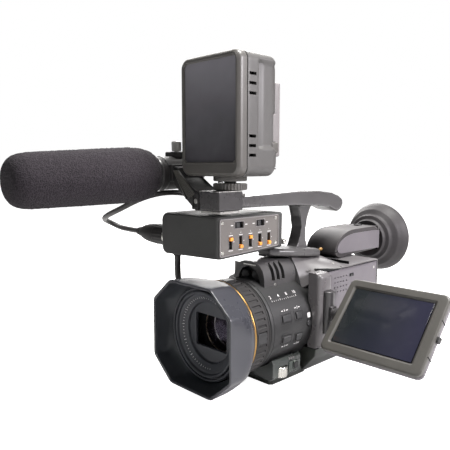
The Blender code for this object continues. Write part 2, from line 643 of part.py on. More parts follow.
def audio_box():
    """A hollow box with the switch panel let into its side."""
    (x0, y0, z0), (x1, y1, z1) = BOX_LOW, BOX_HIGH
    rows = [(y0, 0.90), (y0 + 0.8, 0.955), (y0 + 2.4, 0.99), (y0 + 4.6, 1), (y1 - 2.5, 1), (y1, 0.94)]
    bm = loft([box_ring(*row) for row in rows])
    bmesh.ops.triangulate(bm, faces=bm.faces)
    obj = add("audio_box", bm, "box_black")
    cut(obj, block((x0 + 4, y0 + 4, z0 + 6.5), (14.8, y1 - 4, z1 - 3.5)))
    edge = [(y0 + 2, z0 + 2), (PANEL_REAR_Y, z0 + 5), (PANEL_REAR_Y, z1 - 2), (y0 + 2, z1 - 2)]
    cut(obj, prism(edge, "X", 14, 20))
    join(obj, block((-7, -108, 146), (13, -88, 151.2)))
    x, y, z = BOX_LEAD_ROUTE[0]
    join(obj, rod(4.4, z + 0.4, z + 9, "Z", (x, y, 0), 16))
    cut(obj, rod(9.0, x0 - 7, x0 + 11.5, "X", (0, PLUG_Y, PLUG_Z), 24))
    rear = PANEL_REAR_Y - GAP
    edge = [(y0 + 2.3, z0 + 2.4), (rear, z0 + 5.4), (rear, z1 - 2.3), (y0 + 2.3, z1 - 2.3)]
    panel = add("audio_panel", prism(edge, "X", 15.1, 17.2), "panel_grey")
    for i, up in enumerate(SWITCH_UP):
        y, z = SWITCH_Y + SWITCH_PITCH * i, SWITCH_UP_Z if up else SWITCH_DOWN_Z
        cut(panel, block((10, y - 1.9, SLOT_LOW_Z), (22, y + 1.9, SLOT_HIGH_Z)))
        knob = block((13.2, y - 1.6, z - 1.4), (18.9, y + 1.6, z + 1.4), 0.5)
        add(f"channel_switch_{i + 1}", knob, "orange", (17, y, z))
    for i, y in enumerate(INPUT_SWITCH_Y):
        cut(panel, block((10, y - 5.0, 137.2), (22, y + 5.0, 142.6)))
        knob = block((13.2, y - 4.5, 137.6), (18.7, y - 0.5, 142.2), 0.6)
        add(f"input_switch_{i + 1}", knob, "button_black", (17, y, 140))


def plug_and_cords():
    profile = [
        (0, -110.6), (3.4, -110.6), (4.4, -104), (7.6, -96), (9.0, -88), (9.3, -78), (8.9, -77), (9.6, -76),
        (9.6, -57.4), (8.6, -57), (8.6, -50), (0, -50),
    ]
    add("xlr_plug", turned(profile, "X", (0, PLUG_Y, PLUG_Z), 24), "silver")
    cord("mic_cable", MIC_CABLE_ROUTE, MIC_CABLE_R, "cord_black")
    cord("box_lead", BOX_LEAD_ROUTE, BOX_LEAD_R, "cord_black")
    x, y, z = BOX_LEAD_ROUTE[-1]
    sleeve = [(0, y + 0.6), (3.6, y + 0.6), (4.6, y + 4), (4.6, -22.6), (0, -22.6)]
    add("lead_plug", turned(sleeve, "Y", (x, 0, z), 18), "rubber_black")


# ---------------------------------------------------------------- microphone

def mic_frame():
    middle = Matrix.Translation((MIC_AXIS_X, MIC_TILT_Y, MIC_AXIS_Z))
    return middle @ Matrix.Rotation(MIC_TILT, 4, "X") @ Matrix.Translation((0, -MIC_TILT_Y, 0))


def microphone():
    frame = mic_frame()
    foam = [(0, -247.4), (11, -246.9), (16, -244.8), (19.3, -240.6), (20.7, -233), (22.3, -180), (23.4, -145)]
    foam += [(22.6, -134), (20.2, -126), (16.4, -120.4), (10.7, -119.8), (10.7, -238), (0, -238)]
    add("windscreen", moved(turned(foam, "Y", (0, 0, 0), 28), frame), "foam_black")
    tube = [(0, -236), (9.6, -236), (10.2, -235), (10.2, -70), (8.0, -64.6), (4.0, -63.3), (0, -63.3)]
    add("mic_tube", moved(turned(tube, "Y", (0, 0, 0), 28), frame), "charcoal")
    ring = [(10.6, -118.6), (13.8, -118.6), (14.6, -117.8), (14.6, -84), (10.6, -84)]
    clamp = add("mic_clamp", moved(turned(ring, "Y", (0, 0, 0), 32), frame), "rubber_black")
    join(clamp, moved(block((-8.5, -99, 11.5), (8.5, -84.6, 18.6), 1.0), frame))
    join(clamp, moved(block((11.5, -112, -7), (17.5, -86, 8), 1.0), frame))
    cut(clamp, moved(rod(2.4, 10, 25, "Z", (0, -92, 0), 16), frame))
    screw = [(0, 13), (2.0, 13), (2.0, 19.0), (3.9, 19.0), (4.3, 19.6), (4.3, 27.2), (3.9, 28), (0, 28)]
    bm = turned(screw, "Z", (0, -92, 0), 20, ribs=1, rib_depth=0.3)
    add("clamp_screw", moved(bm, frame), "silver", frame @ Vector((0, -92, 20)))
    arm = [
        (-42.0, 187), (-36, 186), (-32.8, 178), (-13, 167.2),
        (-9.6, 166), (-9.6, 152), (-14, 150.5), (-42.0, 171),
    ]
    bm = prism(arm, "Y", -111, -88, 1.2, 2)
    add("mic_bracket", bm, "rubber_black")


# ---------------------------------------------------------------- lamp

def lamp_outline(inset, radius):
    low, high = LAMP_LOW, LAMP_HIGH
    return rounded_outline(low[0] + inset, low[2] + inset, high[0] - inset, high[2] - inset, radius, 4)


def lamp_ring(y, inset, radius):
    return [(x, y, z) for x, z in lamp_outline(inset, radius)]


def lamp_shells():
    """A front frame and a rear tray that meet at a seam, round the window and the lamp board."""
    y0, y1, seam = LAMP_LOW[1], LAMP_HIGH[1], LAMP_SEAM_Y
    rings = [(y0, 3.4, 6), (y0 + 1.2, 1.4, 7), (y0 + 3.6, 0.2, 8), (seam - GAP, 0.0, 8)]
    front = add("lamp_front_shell", loft([lamp_ring(*ring) for ring in rings]), "bezel_grey")
    cut(front, prism(rounded_outline(*WINDOW_LOW, *WINDOW_HIGH, 3.5, 4), "Y", y0 - 5, seam + 5))
    low, high = [c + GAP for c in WINDOW_LOW], [c - GAP for c in WINDOW_HIGH]
    add("lamp_window", prism(rounded_outline(*low, *high, 3.3, 4), "Y", y0 + 1.6, y0 + 4.0), "lamp_window")
    board = rounded_outline(-20, 192, 24, 265, 3.0, 2)
    add("lamp_board", prism(board, "Y", y0 + 5.4, y0 + 7.4), "board_green")
    rings = [(seam, 0.0, 8), (-86, 0.0, 8), (y1 - 8, 1.2, 8), (y1 - 2, 5.0, 8), (y1, 9.0, 6)]
    rear = add("lamp_rear_shell", loft([lamp_ring(*ring) for ring in rings]), "lamp_grey")
    cut(rear, block((-26, seam - 5, 186), (30, y1 - 9, 265)))
    for z in VENT_Z:
        for x in ((30, 40), (-40, -28)):
            cut(rear, block((x[0], seam + 1.4, z - 1.3), (x[1], seam + 10.0, z + 1.3)))


def lamp_battery():
    """The pack on the lamp's back, with a boss that sits in a notch at the edge of the rear tray."""
    y1 = LAMP_HIGH[1]
    low, high = Vector(BOSS_LOW), Vector(BOSS_HIGH)
    notch = block(low - Vector((GAP, GAP, GAP)), (40, y1 + 10, high.z + GAP))
    cut(bpy.data.objects["lamp_rear_shell"], notch)
    pack = add("lamp_battery", block((-20, y1 + GAP, 195), (29, y1 + 7.4, 254.6), 1.5, 2), "panel_grey")
    join(pack, block(low, high, 0.8))


def lamp_foot():
    x, y = LAMP_AXIS
    stem = [(0, 162.6), (5.0, 162.6), (5.0, 174.6), (13.6, 175.0), (14.0, 176.0), (14.0, 178.7), (0, 178.7)]
    foot = add("lamp_foot", turned(stem, "Z", (x, y, 0), 28), "bezel_grey")
    join(foot, block((x - 9, y - 9, 162.6), (x + 9, y + 9, 164.6)))
    wheel = [(5.3, 167.6), (13.4, 167.6), (14.2, 168.4), (14.2, 172.6), (13.4, 173.4), (5.3, 173.4)]
    bm = turned(wheel, "Z", (x, y, 0), 40, ribs=1, rib_depth=0.5)
    add("lock_wheel", bm, "bezel_grey", (x, y, 170))


def build():
    clear_scene()
    lens_hood()
    lens_mask()
    barrel = lens_barrel()
    barrel_buttons(barrel)
    lens_rings()
    front_lens()
    base_plate()
    dial_pod()
    left_shell()
    right_shell()
    rear_shell()
    top_cover()
    inner_pieces()
    grip()
    battery()
    handle()
    screen()
    eyepiece()
    audio_box()
    plug_and_cords()
    microphone()
    lamp_shells()
    lamp_battery()
    lamp_foot()


build()
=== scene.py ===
"""The camcorder's visual model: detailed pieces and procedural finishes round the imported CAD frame.

Shapes are drawn in millimetres in the CAD's frame (+Z up, the lens looks along -Y, +X is the side with the
flip-out screen) and MM turns them into metres.
"""

import math

import bmesh
import bpy
from mathutils import Matrix, Vector, noise


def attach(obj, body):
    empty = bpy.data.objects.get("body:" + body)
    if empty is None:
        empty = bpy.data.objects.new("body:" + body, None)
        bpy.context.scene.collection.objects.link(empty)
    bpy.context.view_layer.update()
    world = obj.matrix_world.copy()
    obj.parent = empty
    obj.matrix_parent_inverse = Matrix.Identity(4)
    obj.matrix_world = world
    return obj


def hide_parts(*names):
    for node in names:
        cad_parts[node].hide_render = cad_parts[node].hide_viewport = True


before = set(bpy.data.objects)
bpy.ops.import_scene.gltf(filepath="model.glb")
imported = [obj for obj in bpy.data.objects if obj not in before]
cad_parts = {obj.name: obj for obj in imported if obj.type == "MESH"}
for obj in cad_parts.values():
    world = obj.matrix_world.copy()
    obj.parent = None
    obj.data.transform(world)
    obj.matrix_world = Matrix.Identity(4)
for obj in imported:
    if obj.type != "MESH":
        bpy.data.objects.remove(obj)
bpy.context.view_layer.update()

MM = 0.001
TURN = 2 * math.pi
LENS_Z = 50.0
LENS_CENTRE = (0, 0, LENS_Z)
BARREL_R = 40.3
UPPER_X = 3.0
ROOT = "camera_body"


# ---------------------------------------------------------------- mesh tools

def bevel(bm, edges, radius, segments):
    """Rounds some of a mesh's edges."""
    bmesh.ops.bevel(bm, geom=edges, offset=radius, segments=segments, profile=0.5, affect="EDGES")


def block(low, high, radius=0.0, segments=3, along=""):
    """A box between two corners with rounded edges, or only those that run along the named axes."""
    bm = bmesh.new()
    bmesh.ops.create_cube(bm, size=1.0)
    for vert in bm.verts:
        vert.co = Vector((b if c > 0 else a for a, b, c in zip(low, high, vert.co)))
    edges = list(bm.edges)
    if along:
        axes = ["XYZ".index(letter) for letter in along]
        edges = [e for e in edges if any(abs((e.verts[0].co - e.verts[1].co)[i]) > 1e-4 for i in axes)]
    if radius > 0:
        bevel(bm, edges, radius, segments)
    return bm


def loft(rings, closed=False, caps=True):
    """A skin through rings of equally many points; closed joins the last ring to the first."""
    bm = bmesh.new()
    made = [[bm.verts.new(point) for point in ring] for ring in rings]
    pairs = list(zip(made, made[1:]))
    if closed:
        pairs.append((made[-1], made[0]))
    for near, far in pairs:
        for i in range(len(near)):
            j = (i + 1) % len(near)
            bm.faces.new((near[i], near[j], far[j], far[i]))
    if caps and not closed:
        bm.faces.new(made[0][::-1])
        bm.faces.new(made[-1])
    return bm


def spread(axis, a, b, h):
    """The point at height h along an axis whose other two coordinates are a and b."""
    return {"X": (h, a, b), "Y": (a, h, b), "Z": (a, b, h)}[axis]


def flat(outline, y):
    """An (x, z) outline at one place along Y."""
    return [(x, y, z) for x, z in outline]


def prism(outline, axis, low, high, radius=0.0, segments=3):
    """A flat outline carried along an axis, with optional rounding of the edges at both ends."""
    bm = loft([[spread(axis, a, b, h) for a, b in outline] for h in (low, high)])
    if radius > 0:
        index = "XYZ".index(axis)
        rims = [e for e in bm.edges if abs((e.verts[0].co - e.verts[1].co)[index]) < 1e-4]
        bevel(bm, rims, radius, segments)
    return bm


def turned(profile, axis, centre, segments=96, reach=None):
    """A profile of (radius, height) turned round an axis.

    Reach is an optional function of (radius, height, angle) that returns another radius.
    """
    bm = bmesh.new()
    rows = []
    for radius, height in profile:
        if radius == 0:
            rows.append([bm.verts.new(Vector(spread(axis, 0, 0, height)) + Vector(centre))])
            continue
        row = []
        for i in range(segments):
            angle = TURN * i / segments
            r = reach(radius, height, angle) if reach else radius
            point = Vector(spread(axis, r * math.cos(angle), r * math.sin(angle), height))
            row.append(bm.verts.new(point + Vector(centre)))
        rows.append(row)
    pairs = list(zip(rows, rows[1:]))
    if len(rows[0]) > 1:
        pairs.append((rows[-1], rows[0]))
    for near, far in pairs:
        for i in range(segments):
            j = (i + 1) % segments
            corners = [near[i % len(near)], near[j % len(near)], far[j % len(far)], far[i % len(far)]]
            corners = list(dict.fromkeys(corners))
            if len(corners) > 2:
                bm.faces.new(corners)
    return bm


def grooves(count, depth, low, high, share=0.0, beyond=0.0):
    """A reach for turned() that cuts grooves into what lies between two heights and beyond a radius.

    A higher share makes the grooves narrower.
    """
    def reach(radius, height, angle):
        cut = low < height < high and radius > beyond and math.cos(count * angle) > share
        return radius - (depth if cut else 0.0)
    return reach


def rod(radius, low, high, axis, centre, segments=32, edge=0.0):
    """A round rod between two heights on an axis, with optional chamfers."""
    profile = [
        (0, low), (radius - edge, low), (radius, low + edge), (radius, high - edge), (radius - edge, high),
    ]
    if edge == 0:
        profile = [(0, low), (radius, low), (radius, high)]
    return turned(profile + [(0, high)], axis, centre, segments)


def tube_skin(outer, inner, low, high, place):
    """A flat frame between two outlines, from low to high; place maps (a, b, height) to a point."""
    rows = ((outer, low), (outer, high), (inner, high), (inner, low))
    return loft([[place(a, b, height) for a, b in outline] for outline, height in rows], closed=True)


def towards(centre, axis):
    """A frame at a centre whose Z points along an axis."""
    turn = Vector((0, 0, 1)).rotation_difference(Vector(axis)).to_matrix().to_4x4()
    return Matrix.Translation(centre) @ turn


def moved(bm, matrix):
    """The same mesh after a change of place."""
    bmesh.ops.transform(bm, matrix=matrix, verts=bm.verts)
    return bm


def merged(*parts):
    """Several meshes in one, each its own shell."""
    whole = bmesh.new()
    for part in parts:
        mesh = bpy.data.meshes.new("part")
        bmesh.ops.recalc_face_normals(part, faces=part.faces)
        part.to_mesh(mesh)
        part.free()
        whole.from_mesh(mesh)
        bpy.data.meshes.remove(mesh)
    return whole


def corner(a, b, sign_a, sign_b, radius, quarter, steps=8):
    """The round corner that replaces a sharp one at a, b; the signs say which way it points."""
    points = []
    for i in range(steps + 1):
        angle = TURN / 4 * (quarter + i / steps)
        across = a - sign_a * radius + radius * math.cos(angle)
        points.append((across, b - sign_b * radius + radius * math.sin(angle)))
    return points


def rounded(low_a, low_b, high_a, high_b, radius, steps=8, side=1):
    """A round-cornered rectangle's outline, with side extra cuts along each straight."""
    centres = [(high_a, high_b, 0), (low_a, high_b, 1), (low_a, low_b, 2), (high_a, low_b, 3)]
    points = []
    for a, b, quarter in centres:
        sign_a, sign_b = (1 if a == high_a else -1), (1 if b == high_b else -1)
        points += corner(a, b, sign_a, sign_b, radius, quarter, steps)
    if side <= 1:
        return points
    dense = []
    for i, point in enumerate(points):
        after = points[(i + 1) % len(points)]
        dense.append(point)
        if i % (steps + 1) == steps:
            for k in range(1, side):
                dense.append(tuple(p + (q - p) * k / side for p, q in zip(point, after)))
    return dense


def smooth_route(points, spacing):
    """Evenly spaced points on a smooth curve through the given ones, and its length."""
    knots = [Vector(p) for p in points]
    knots = [2 * knots[0] - knots[1], *knots, 2 * knots[-1] - knots[-2]]
    dense = []
    for a, b, c, d in zip(knots, knots[1:], knots[2:], knots[3:]):
        for i in range(24):
            t = i / 24
            square, cube = 2 * a - 5 * b + 4 * c - d, 3 * b - a - 3 * c + d
            dense.append(0.5 * (2 * b + (c - a) * t + square * t**2 + cube * t**3))
    dense.append(knots[-2])
    travelled = [0.0]
    for near, far in zip(dense, dense[1:]):
        travelled.append(travelled[-1] + (far - near).length)
    count = max(2, round(travelled[-1] / spacing))
    route, j = [], 0
    for i in range(count + 1):
        goal = travelled[-1] * i / count
        while j < len(dense) - 2 and travelled[j + 1] < goal:
            j += 1
        step = travelled[j + 1] - travelled[j]
        route.append(dense[j].lerp(dense[j + 1], (goal - travelled[j]) / step))
    return route, travelled[-1]


# ---------------------------------------------------------------- finishes

class Finish:
    """A material under construction: named helpers for the few nodes used here."""

    def __init__(self, name):
        self.material = bpy.data.materials.new(name)
        self.material.use_nodes = True
        self.tree = self.material.node_tree
        self.shader = self.tree.nodes["Principled BSDF"]
        self.coords = self.tree.nodes.new("ShaderNodeTexCoord").outputs["Object"]

    def set(self, **values):
        """Sets the shader's inputs; an underscore stands for a space."""
        for key, value in values.items():
            self.shader.inputs[key.replace("_", " ")].default_value = value

    def link(self, output, socket):
        self.tree.links.new(output, self.shader.inputs[socket])

    def node(self, kind, inputs=(), **settings):
        """A node whose inputs are fixed values or the outputs of other nodes."""
        made = self.tree.nodes.new(kind)
        for key, value in settings.items():
            setattr(made, key, value)
        for key, value in dict(inputs).items():
            if isinstance(value, bpy.types.NodeSocket):
                self.tree.links.new(value, made.inputs[key])
            else:
                made.inputs[key].default_value = value
        return made

    def noise(self, scale, detail=2.0, rough=0.5, coords=None):
        values = {"Vector": coords or self.coords, "Scale": scale, "Detail": detail, "Roughness": rough}
        return self.node("ShaderNodeTexNoise", values).outputs["Fac"]

    def voronoi(self, scale, coords=None):
        values = {"Vector": coords or self.coords, "Scale": scale}
        return self.node("ShaderNodeTexVoronoi", values).outputs["Distance"]

    def remap(self, value, a, b, c, d):
        """The value with its range from a to b stretched to run from c to d, and clamped."""
        values = {"Value": value, "From Min": a, "From Max": b, "To Min": c, "To Max": d}
        return self.node("ShaderNodeMapRange", values).outputs["Result"]

    def math(self, operation, a, b=0.5):
        return self.node("ShaderNodeMath", {0: a, 1: b}, operation=operation).outputs[0]

    def mix(self, factor, a, b):
        """A colour between two colours; each may be fixed or the output of a node."""
        made = self.node("ShaderNodeMix", data_type="RGBA", blend_type="MIX")
        for index, value in ((0, factor), (6, a), (7, b)):
            if isinstance(value, bpy.types.NodeSocket):
                self.tree.links.new(value, made.inputs[index])
            else:
                made.inputs[index].default_value = (*value, 1.0) if index else value
        return made.outputs[2]

    def edges(self, radius=0.0007, low=0.02, high=0.22):
        """A mask that is 1 along worn outer and inner edges."""
        worn = self.node("ShaderNodeBevel", {"Radius": radius}, samples=4).outputs["Normal"]
        normal = self.node("ShaderNodeNewGeometry").outputs["Normal"]
        dot = self.node("ShaderNodeVectorMath", {0: worn, 1: normal}, operation="DOT_PRODUCT")
        return self.remap(self.math("SUBTRACT", 1.0, dot.outputs["Value"]), low, high, 0.0, 1.0)

    def bump(self, height, strength, distance, normal=None):
        values = {"Height": height, "Strength": strength, "Distance": distance}
        if normal:
            values["Normal"] = normal
        return self.node("ShaderNodeBump", values).outputs["Normal"]


FINISHES = {}


def scaled(rgb, factor):
    """A colour made darker or lighter."""
    return tuple(min(1.0, c * factor) for c in rgb)


def plastic(name, rgb, rough=0.45, grain=2600, bump=0.25, depth=0.00006, mottle=0.16, wear=0.35, spec=0.5,
            ahead=None, **more):
    """Moulded plastic or paint: fine texture, uneven gloss, faint mottling and rubbed edges.

    Ahead is an optional (place along the lens in metres, colour, roughness) for what lies before it.
    """
    f = Finish(name)
    f.set(Specular_IOR_Level=spec, **more)
    cloud = f.noise(38, 4.0, 0.6)
    speck = f.noise(grain, 2.0)
    base = f.mix(f.remap(cloud, 0.3, 0.7, 0.0, 1.0), scaled(rgb, 1 - mottle), scaled(rgb, 1 + mottle))
    base = f.mix(f.remap(speck, 0.35, 0.75, 0.0, 0.35), base, scaled(rgb, 1.5))
    if wear > 0:
        mask = f.math("MULTIPLY", f.edges(), f.remap(f.noise(140, 3.0), 0.35, 0.7, 0.25, wear + 0.25))
        base = f.mix(mask, base, scaled(rgb, 2.1))
    gloss = f.remap(f.noise(16, 5.0, 0.65), 0.3, 0.7, rough - 0.07, rough + 0.09)
    if ahead:
        place, tone, front_rough = ahead
        lens_way = f.node("ShaderNodeSeparateXYZ", {"Vector": f.coords}).outputs["Y"]
        before = f.math("LESS_THAN", lens_way, place)
        # On the side shell this tone is lighter than the rest, partly a painted highlight on the screen's
        # column.
        base = f.mix(before, base, tone)
        gloss = f.math("SUBTRACT", gloss, f.math("MULTIPLY", before, rough - front_rough))
    f.link(base, "Base Color")
    f.link(gloss, "Roughness")
    f.link(f.bump(speck, bump, depth), "Normal")
    FINISHES[name] = f.material


def metal(name, rgb, rough=0.25, stretch=(1, 40, 1), bump=0.08):
    """Machined metal with faint lines and uneven polish."""
    f = Finish(name)
    f.set(Metallic=1.0)
    mapping = f.node("ShaderNodeMapping", {"Vector": f.coords, "Scale": stretch}).outputs["Vector"]
    lines = f.noise(900, 2.0, 0.5, mapping)
    f.link(f.mix(f.remap(lines, 0.3, 0.7, 0.0, 1.0), scaled(rgb, 0.82), scaled(rgb, 1.1)), "Base Color")
    f.link(f.remap(f.noise(60, 4.0), 0.3, 0.7, rough - 0.06, rough + 0.12), "Roughness")
    f.link(f.bump(lines, bump, 0.00003), "Normal")
    FINISHES[name] = f.material


def foam(name, rgb):
    """Open-cell foam: pores deeper than the struts between them, and darker with painted shade."""
    f = Finish(name)
    f.set(Specular_IOR_Level=0.1, Roughness=0.95, Sheen_Weight=0.04, Sheen_Roughness=0.6)
    pores = f.voronoi(950)
    grit = f.noise(1700, 3.0, 0.7)
    cells = f.math("ADD", f.math("MULTIPLY", pores, 0.75), f.math("MULTIPLY", grit, 0.55))
    # Painted shade in the pores: where the cells are low the colour falls far below the struts'.
    shade = f.mix(f.remap(cells, 0.3, 0.78, 0.0, 1.0), scaled(rgb, 0.28), scaled(rgb, 1.95))
    wide = f.remap(f.noise(26, 3.0), 0.3, 0.7, 0.0, 0.35)
    f.link(f.mix(wide, shade, scaled(rgb, 1.4)), "Base Color")
    f.link(f.bump(cells, 0.9, 0.0007), "Normal")
    FINISHES[name] = f.material


def weave(name, rgb, pitch=0.0011):
    """Woven webbing: warp and weft ribs with a slight sheen."""
    f = Finish(name)
    f.set(Specular_IOR_Level=0.3, Sheen_Weight=0.3, Sheen_Roughness=0.5)
    values = {"Vector": f.coords, "Scale": 0.16 / pitch, "Distortion": 0.4, "Detail": 1.0}
    warp = f.node("ShaderNodeTexWave", values, wave_type="BANDS", bands_direction="Z").outputs["Fac"]
    weft = f.node("ShaderNodeTexWave", values, wave_type="BANDS", bands_direction="Y").outputs["Fac"]
    threads = f.math("MULTIPLY", warp, weft)
    fuzz = f.noise(1800, 2.0)
    both = f.math("ADD", threads, f.math("MULTIPLY", fuzz, 0.35))
    f.link(f.mix(f.remap(both, 0.1, 1.1, 0.0, 1.0), scaled(rgb, 0.5), scaled(rgb, 1.9)), "Base Color")
    f.link(f.remap(fuzz, 0.3, 0.7, 0.7, 0.9), "Roughness")
    f.link(f.bump(both, 0.8, 0.0003), "Normal")
    FINISHES[name] = f.material


def pane(name, low, high, axis, start, end, rough=0.07, coat=0.6, spec=0.5):
    """A dark glossy pane whose tone drifts from end to end as a painted reflection, with faint smears in its
    gloss.
    """
    f = Finish(name)
    f.set(Specular_IOR_Level=spec, Coat_Weight=coat, Coat_Roughness=0.04)
    place = f.node("ShaderNodeSeparateXYZ", {"Vector": f.coords}).outputs[axis]
    # Painted reflection: the colour runs from low to high along the axis, broken by a soft cloud.
    along, cloud = f.remap(place, start, end, 0.0, 1.0), f.remap(f.noise(22, 3.0), 0.3, 0.7, -0.12, 0.12)
    painted_reflection = f.math("ADD", along, cloud)
    f.link(f.mix(painted_reflection, low, high), "Base Color")
    f.link(f.remap(f.noise(45, 4.0), 0.35, 0.7, rough, rough + 0.08), "Roughness")
    FINISHES[name] = f.material


def clear_glass(name, tint):
    """A dark see-through film with a tinted reflection."""
    f = Finish(name)
    f.set(Alpha=0.3, IOR=1.5, Specular_IOR_Level=1.0, Specular_Tint=(*tint, 1.0))
    f.link(f.remap(f.noise(60, 3.0), 0.35, 0.7, 0.01, 0.05), "Roughness")
    cloud = f.remap(f.noise(18, 2.0), 0.3, 0.7, 0.0, 1.0)
    f.link(f.mix(cloud, (0.012, 0.010, 0.012), (0.020, 0.014, 0.022)), "Base Color")
    FINISHES[name] = f.material


def make_finishes():
    """Every finish of the model, by name."""
    plastic("charcoal", (0.036, 0.034, 0.035), 0.30, mottle=0.10, spec=0.7)
    plastic("side_grey", (0.104, 0.095, 0.105), 0.42, mottle=0.08)
    # Ahead of Y -4.1 mm, on the screen's column, the shell turns glossier and lighter; the lighter tone is
    # partly a painted highlight.
    plastic(
        "shell_side", (0.100, 0.091, 0.101), 0.42, mottle=0.08, ahead=(-0.0041, (0.115, 0.108, 0.111), 0.26),
    )
    plastic("spine_grey", (0.098, 0.093, 0.095), 0.44, mottle=0.10, spec=0.4)
    plastic("eye_shell", (0.044, 0.041, 0.042), 0.52, mottle=0.12, spec=0.16)
    plastic("handle_black", (0.058, 0.056, 0.057), 0.30, mottle=0.10, spec=0.6)
    plastic("barrel_black", (0.0145, 0.0145, 0.015), 0.44, grain=2100, bump=0.4, depth=0.0001, wear=0.2)
    plastic("hood_black", (0.036, 0.037, 0.044), 0.27, grain=3400, bump=0.12, mottle=0.08, wear=0.5)
    plastic("hood_inside", (0.027, 0.030, 0.035), 0.50, grain=3000, wear=0.15, spec=0.45)
    plastic("mask_grey", (0.031, 0.033, 0.040), 0.48, grain=3000, wear=0.25)
    plastic("base_grey", (0.027, 0.030, 0.026), 0.46, mottle=0.14)
    plastic("pod_grey", (0.036, 0.041, 0.038), 0.22, grain=3000, bump=0.08, wear=0.6, Coat_Weight=0.35)
    plastic("panel_grey", (0.111, 0.102, 0.095), 0.42, mottle=0.08, wear=0.2)
    plastic("bezel_grey", (0.062, 0.059, 0.053), 0.38, mottle=0.07)
    plastic("lamp_front", (0.074, 0.070, 0.065), 0.38, mottle=0.07)
    plastic(
        "lamp_grey", (0.065, 0.063, 0.061), 0.44, grain=1900, bump=0.45, depth=0.0001, mottle=0.06,
        wear=0.25,
    )
    plastic("light_grey", (0.16, 0.15, 0.15), 0.46, grain=2100, mottle=0.06, wear=0.15)
    plastic("battery_grey", (0.043, 0.042, 0.044), 0.5, grain=1900, bump=0.4)
    plastic(
        "box_black", (0.041, 0.041, 0.040), 0.60, grain=1700, bump=0.5, depth=0.00011, mottle=0.08,
        wear=0.45, spec=0.25,
    )
    plastic("rubber_black", (0.017, 0.016, 0.016), 0.58, grain=1500, bump=0.3, wear=0.25, spec=0.35)
    plastic(
        "cup_rubber", (0.021, 0.0185, 0.020), 0.55, grain=1300, bump=0.3, mottle=0.14, wear=0.3, spec=0.4,
    )
    plastic("cord_black", (0.027, 0.025, 0.025), 0.40, grain=1200, bump=0.15, wear=0.0)
    plastic("button_black", (0.020, 0.020, 0.021), 0.40, grain=2000, wear=0.45)
    # Near black: the dark of seams and joints, and painted shade where it fills slots, holes, linings and the
    # lens tube.
    plastic("seam_black_and_painted_shade", (0.006, 0.006, 0.007), 0.85, wear=0.0, spec=0.1)
    plastic("orange", (0.90, 0.30, 0.045), 0.32, grain=2500, bump=0.1, mottle=0.12, wear=0.2)
    plastic("print_white", (0.62, 0.61, 0.60), 0.5, grain=2500, bump=0.1, wear=0.0)
    plastic("record_red", (0.46, 0.03, 0.03), 0.3, bump=0.1, wear=0.2)
    plastic("board_green", (0.02, 0.13, 0.06), 0.4, grain=400, bump=0.6, wear=0.0)
    metal("gold", (0.42, 0.25, 0.085), 0.36, (1, 60, 1))
    metal("dark_chrome", (0.17, 0.19, 0.175), 0.20, (40, 1, 40))
    metal("silver", (0.66, 0.65, 0.61), 0.24, (40, 1, 40))
    metal("steel", (0.56, 0.55, 0.53), 0.30, (1, 1, 40))
    metal("bronze", (0.42, 0.34, 0.27), 0.30, (1, 60, 1))
    foam("foam_black", (0.0155, 0.0132, 0.0156))
    weave("webbing", (0.025, 0.024, 0.025))
    # Painted reflections: the lamp's window lighter towards its top, the screen lighter and bluer towards +X,
    # the lens glass lighter and purpler towards +X.
    pane("lamp_window", (0.034, 0.033, 0.037), (0.215, 0.207, 0.230), "Z", 0.19, 0.268, 0.16, 0.15, 0.3)
    pane("screen", (0.013, 0.016, 0.018), (0.022, 0.022, 0.040), "X", 0.075, 0.136, 0.08, 0.2, 0.4)
    pane("eye_glass", (0.01, 0.012, 0.016), (0.03, 0.02, 0.04), "X", -0.008, 0.014, 0.03, 1.0)
    clear_glass("glass", (0.75, 0.65, 0.95))


# ---------------------------------------------------------------- pieces

def put(name, data):
    """A new object in the scene."""
    obj = bpy.data.objects.new(name, data)
    bpy.context.scene.collection.objects.link(obj)
    return obj


def mesh_of(name, bm):
    """The mesh in metres of one drawn in millimetres."""
    for vert in bm.verts:
        vert.co *= MM
    mesh = bpy.data.meshes.new(name)
    bm.to_mesh(mesh)
    bm.free()
    return mesh


def harden(obj, width=0.0):
    """Optional edge rounding, then normals that keep wide faces flat."""
    if width:
        rounding = obj.modifiers.new("Round", "BEVEL")
        rounding.width = width * MM
        rounding.segments = 2
        rounding.limit_method = "ANGLE"
        rounding.angle_limit = math.radians(32)
        rounding.harden_normals = True
    normals = obj.modifiers.new("Normals", "WEIGHTED_NORMAL")
    normals.keep_sharp = True


def piece(name, bm, finish, body=ROOT, stands_for=(), sharp=40, edge=0.0, normals=True, recalc=True):
    """The object of a mesh drawn in millimetres, riding on a body."""
    if recalc:
        bmesh.ops.recalc_face_normals(bm, faces=bm.faces)
    mesh = mesh_of(name, bm)
    mesh.materials.append(FINISHES[finish])
    mesh.shade_smooth()
    mesh.set_sharp_from_angle(angle=math.radians(sharp))
    obj = put(name, mesh)
    if normals:
        harden(obj, edge)
    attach(obj, body)
    if stands_for:
        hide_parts(*stands_for)
    return obj


def carve(obj, *cutters):
    """Cuts shapes out of a piece for good, before the modifiers it keeps."""
    for bm in cutters:
        bmesh.ops.recalc_face_normals(bm, faces=bm.faces)
        mesh = mesh_of("cutter", bm)
        helper = put("cutter", mesh)
        modifier = obj.modifiers.new("Cut", "BOOLEAN")
        modifier.operation = "DIFFERENCE"
        modifier.object = helper
        obj.modifiers.move(len(obj.modifiers) - 1, 0)
        with bpy.context.temp_override(object=obj, active_object=obj, selected_objects=[obj]):
            bpy.ops.object.modifier_apply(modifier="Cut")
        bpy.data.objects.remove(helper)
        bpy.data.meshes.remove(mesh)
    obj.data.set_sharp_from_angle(angle=math.radians(40))
    return obj


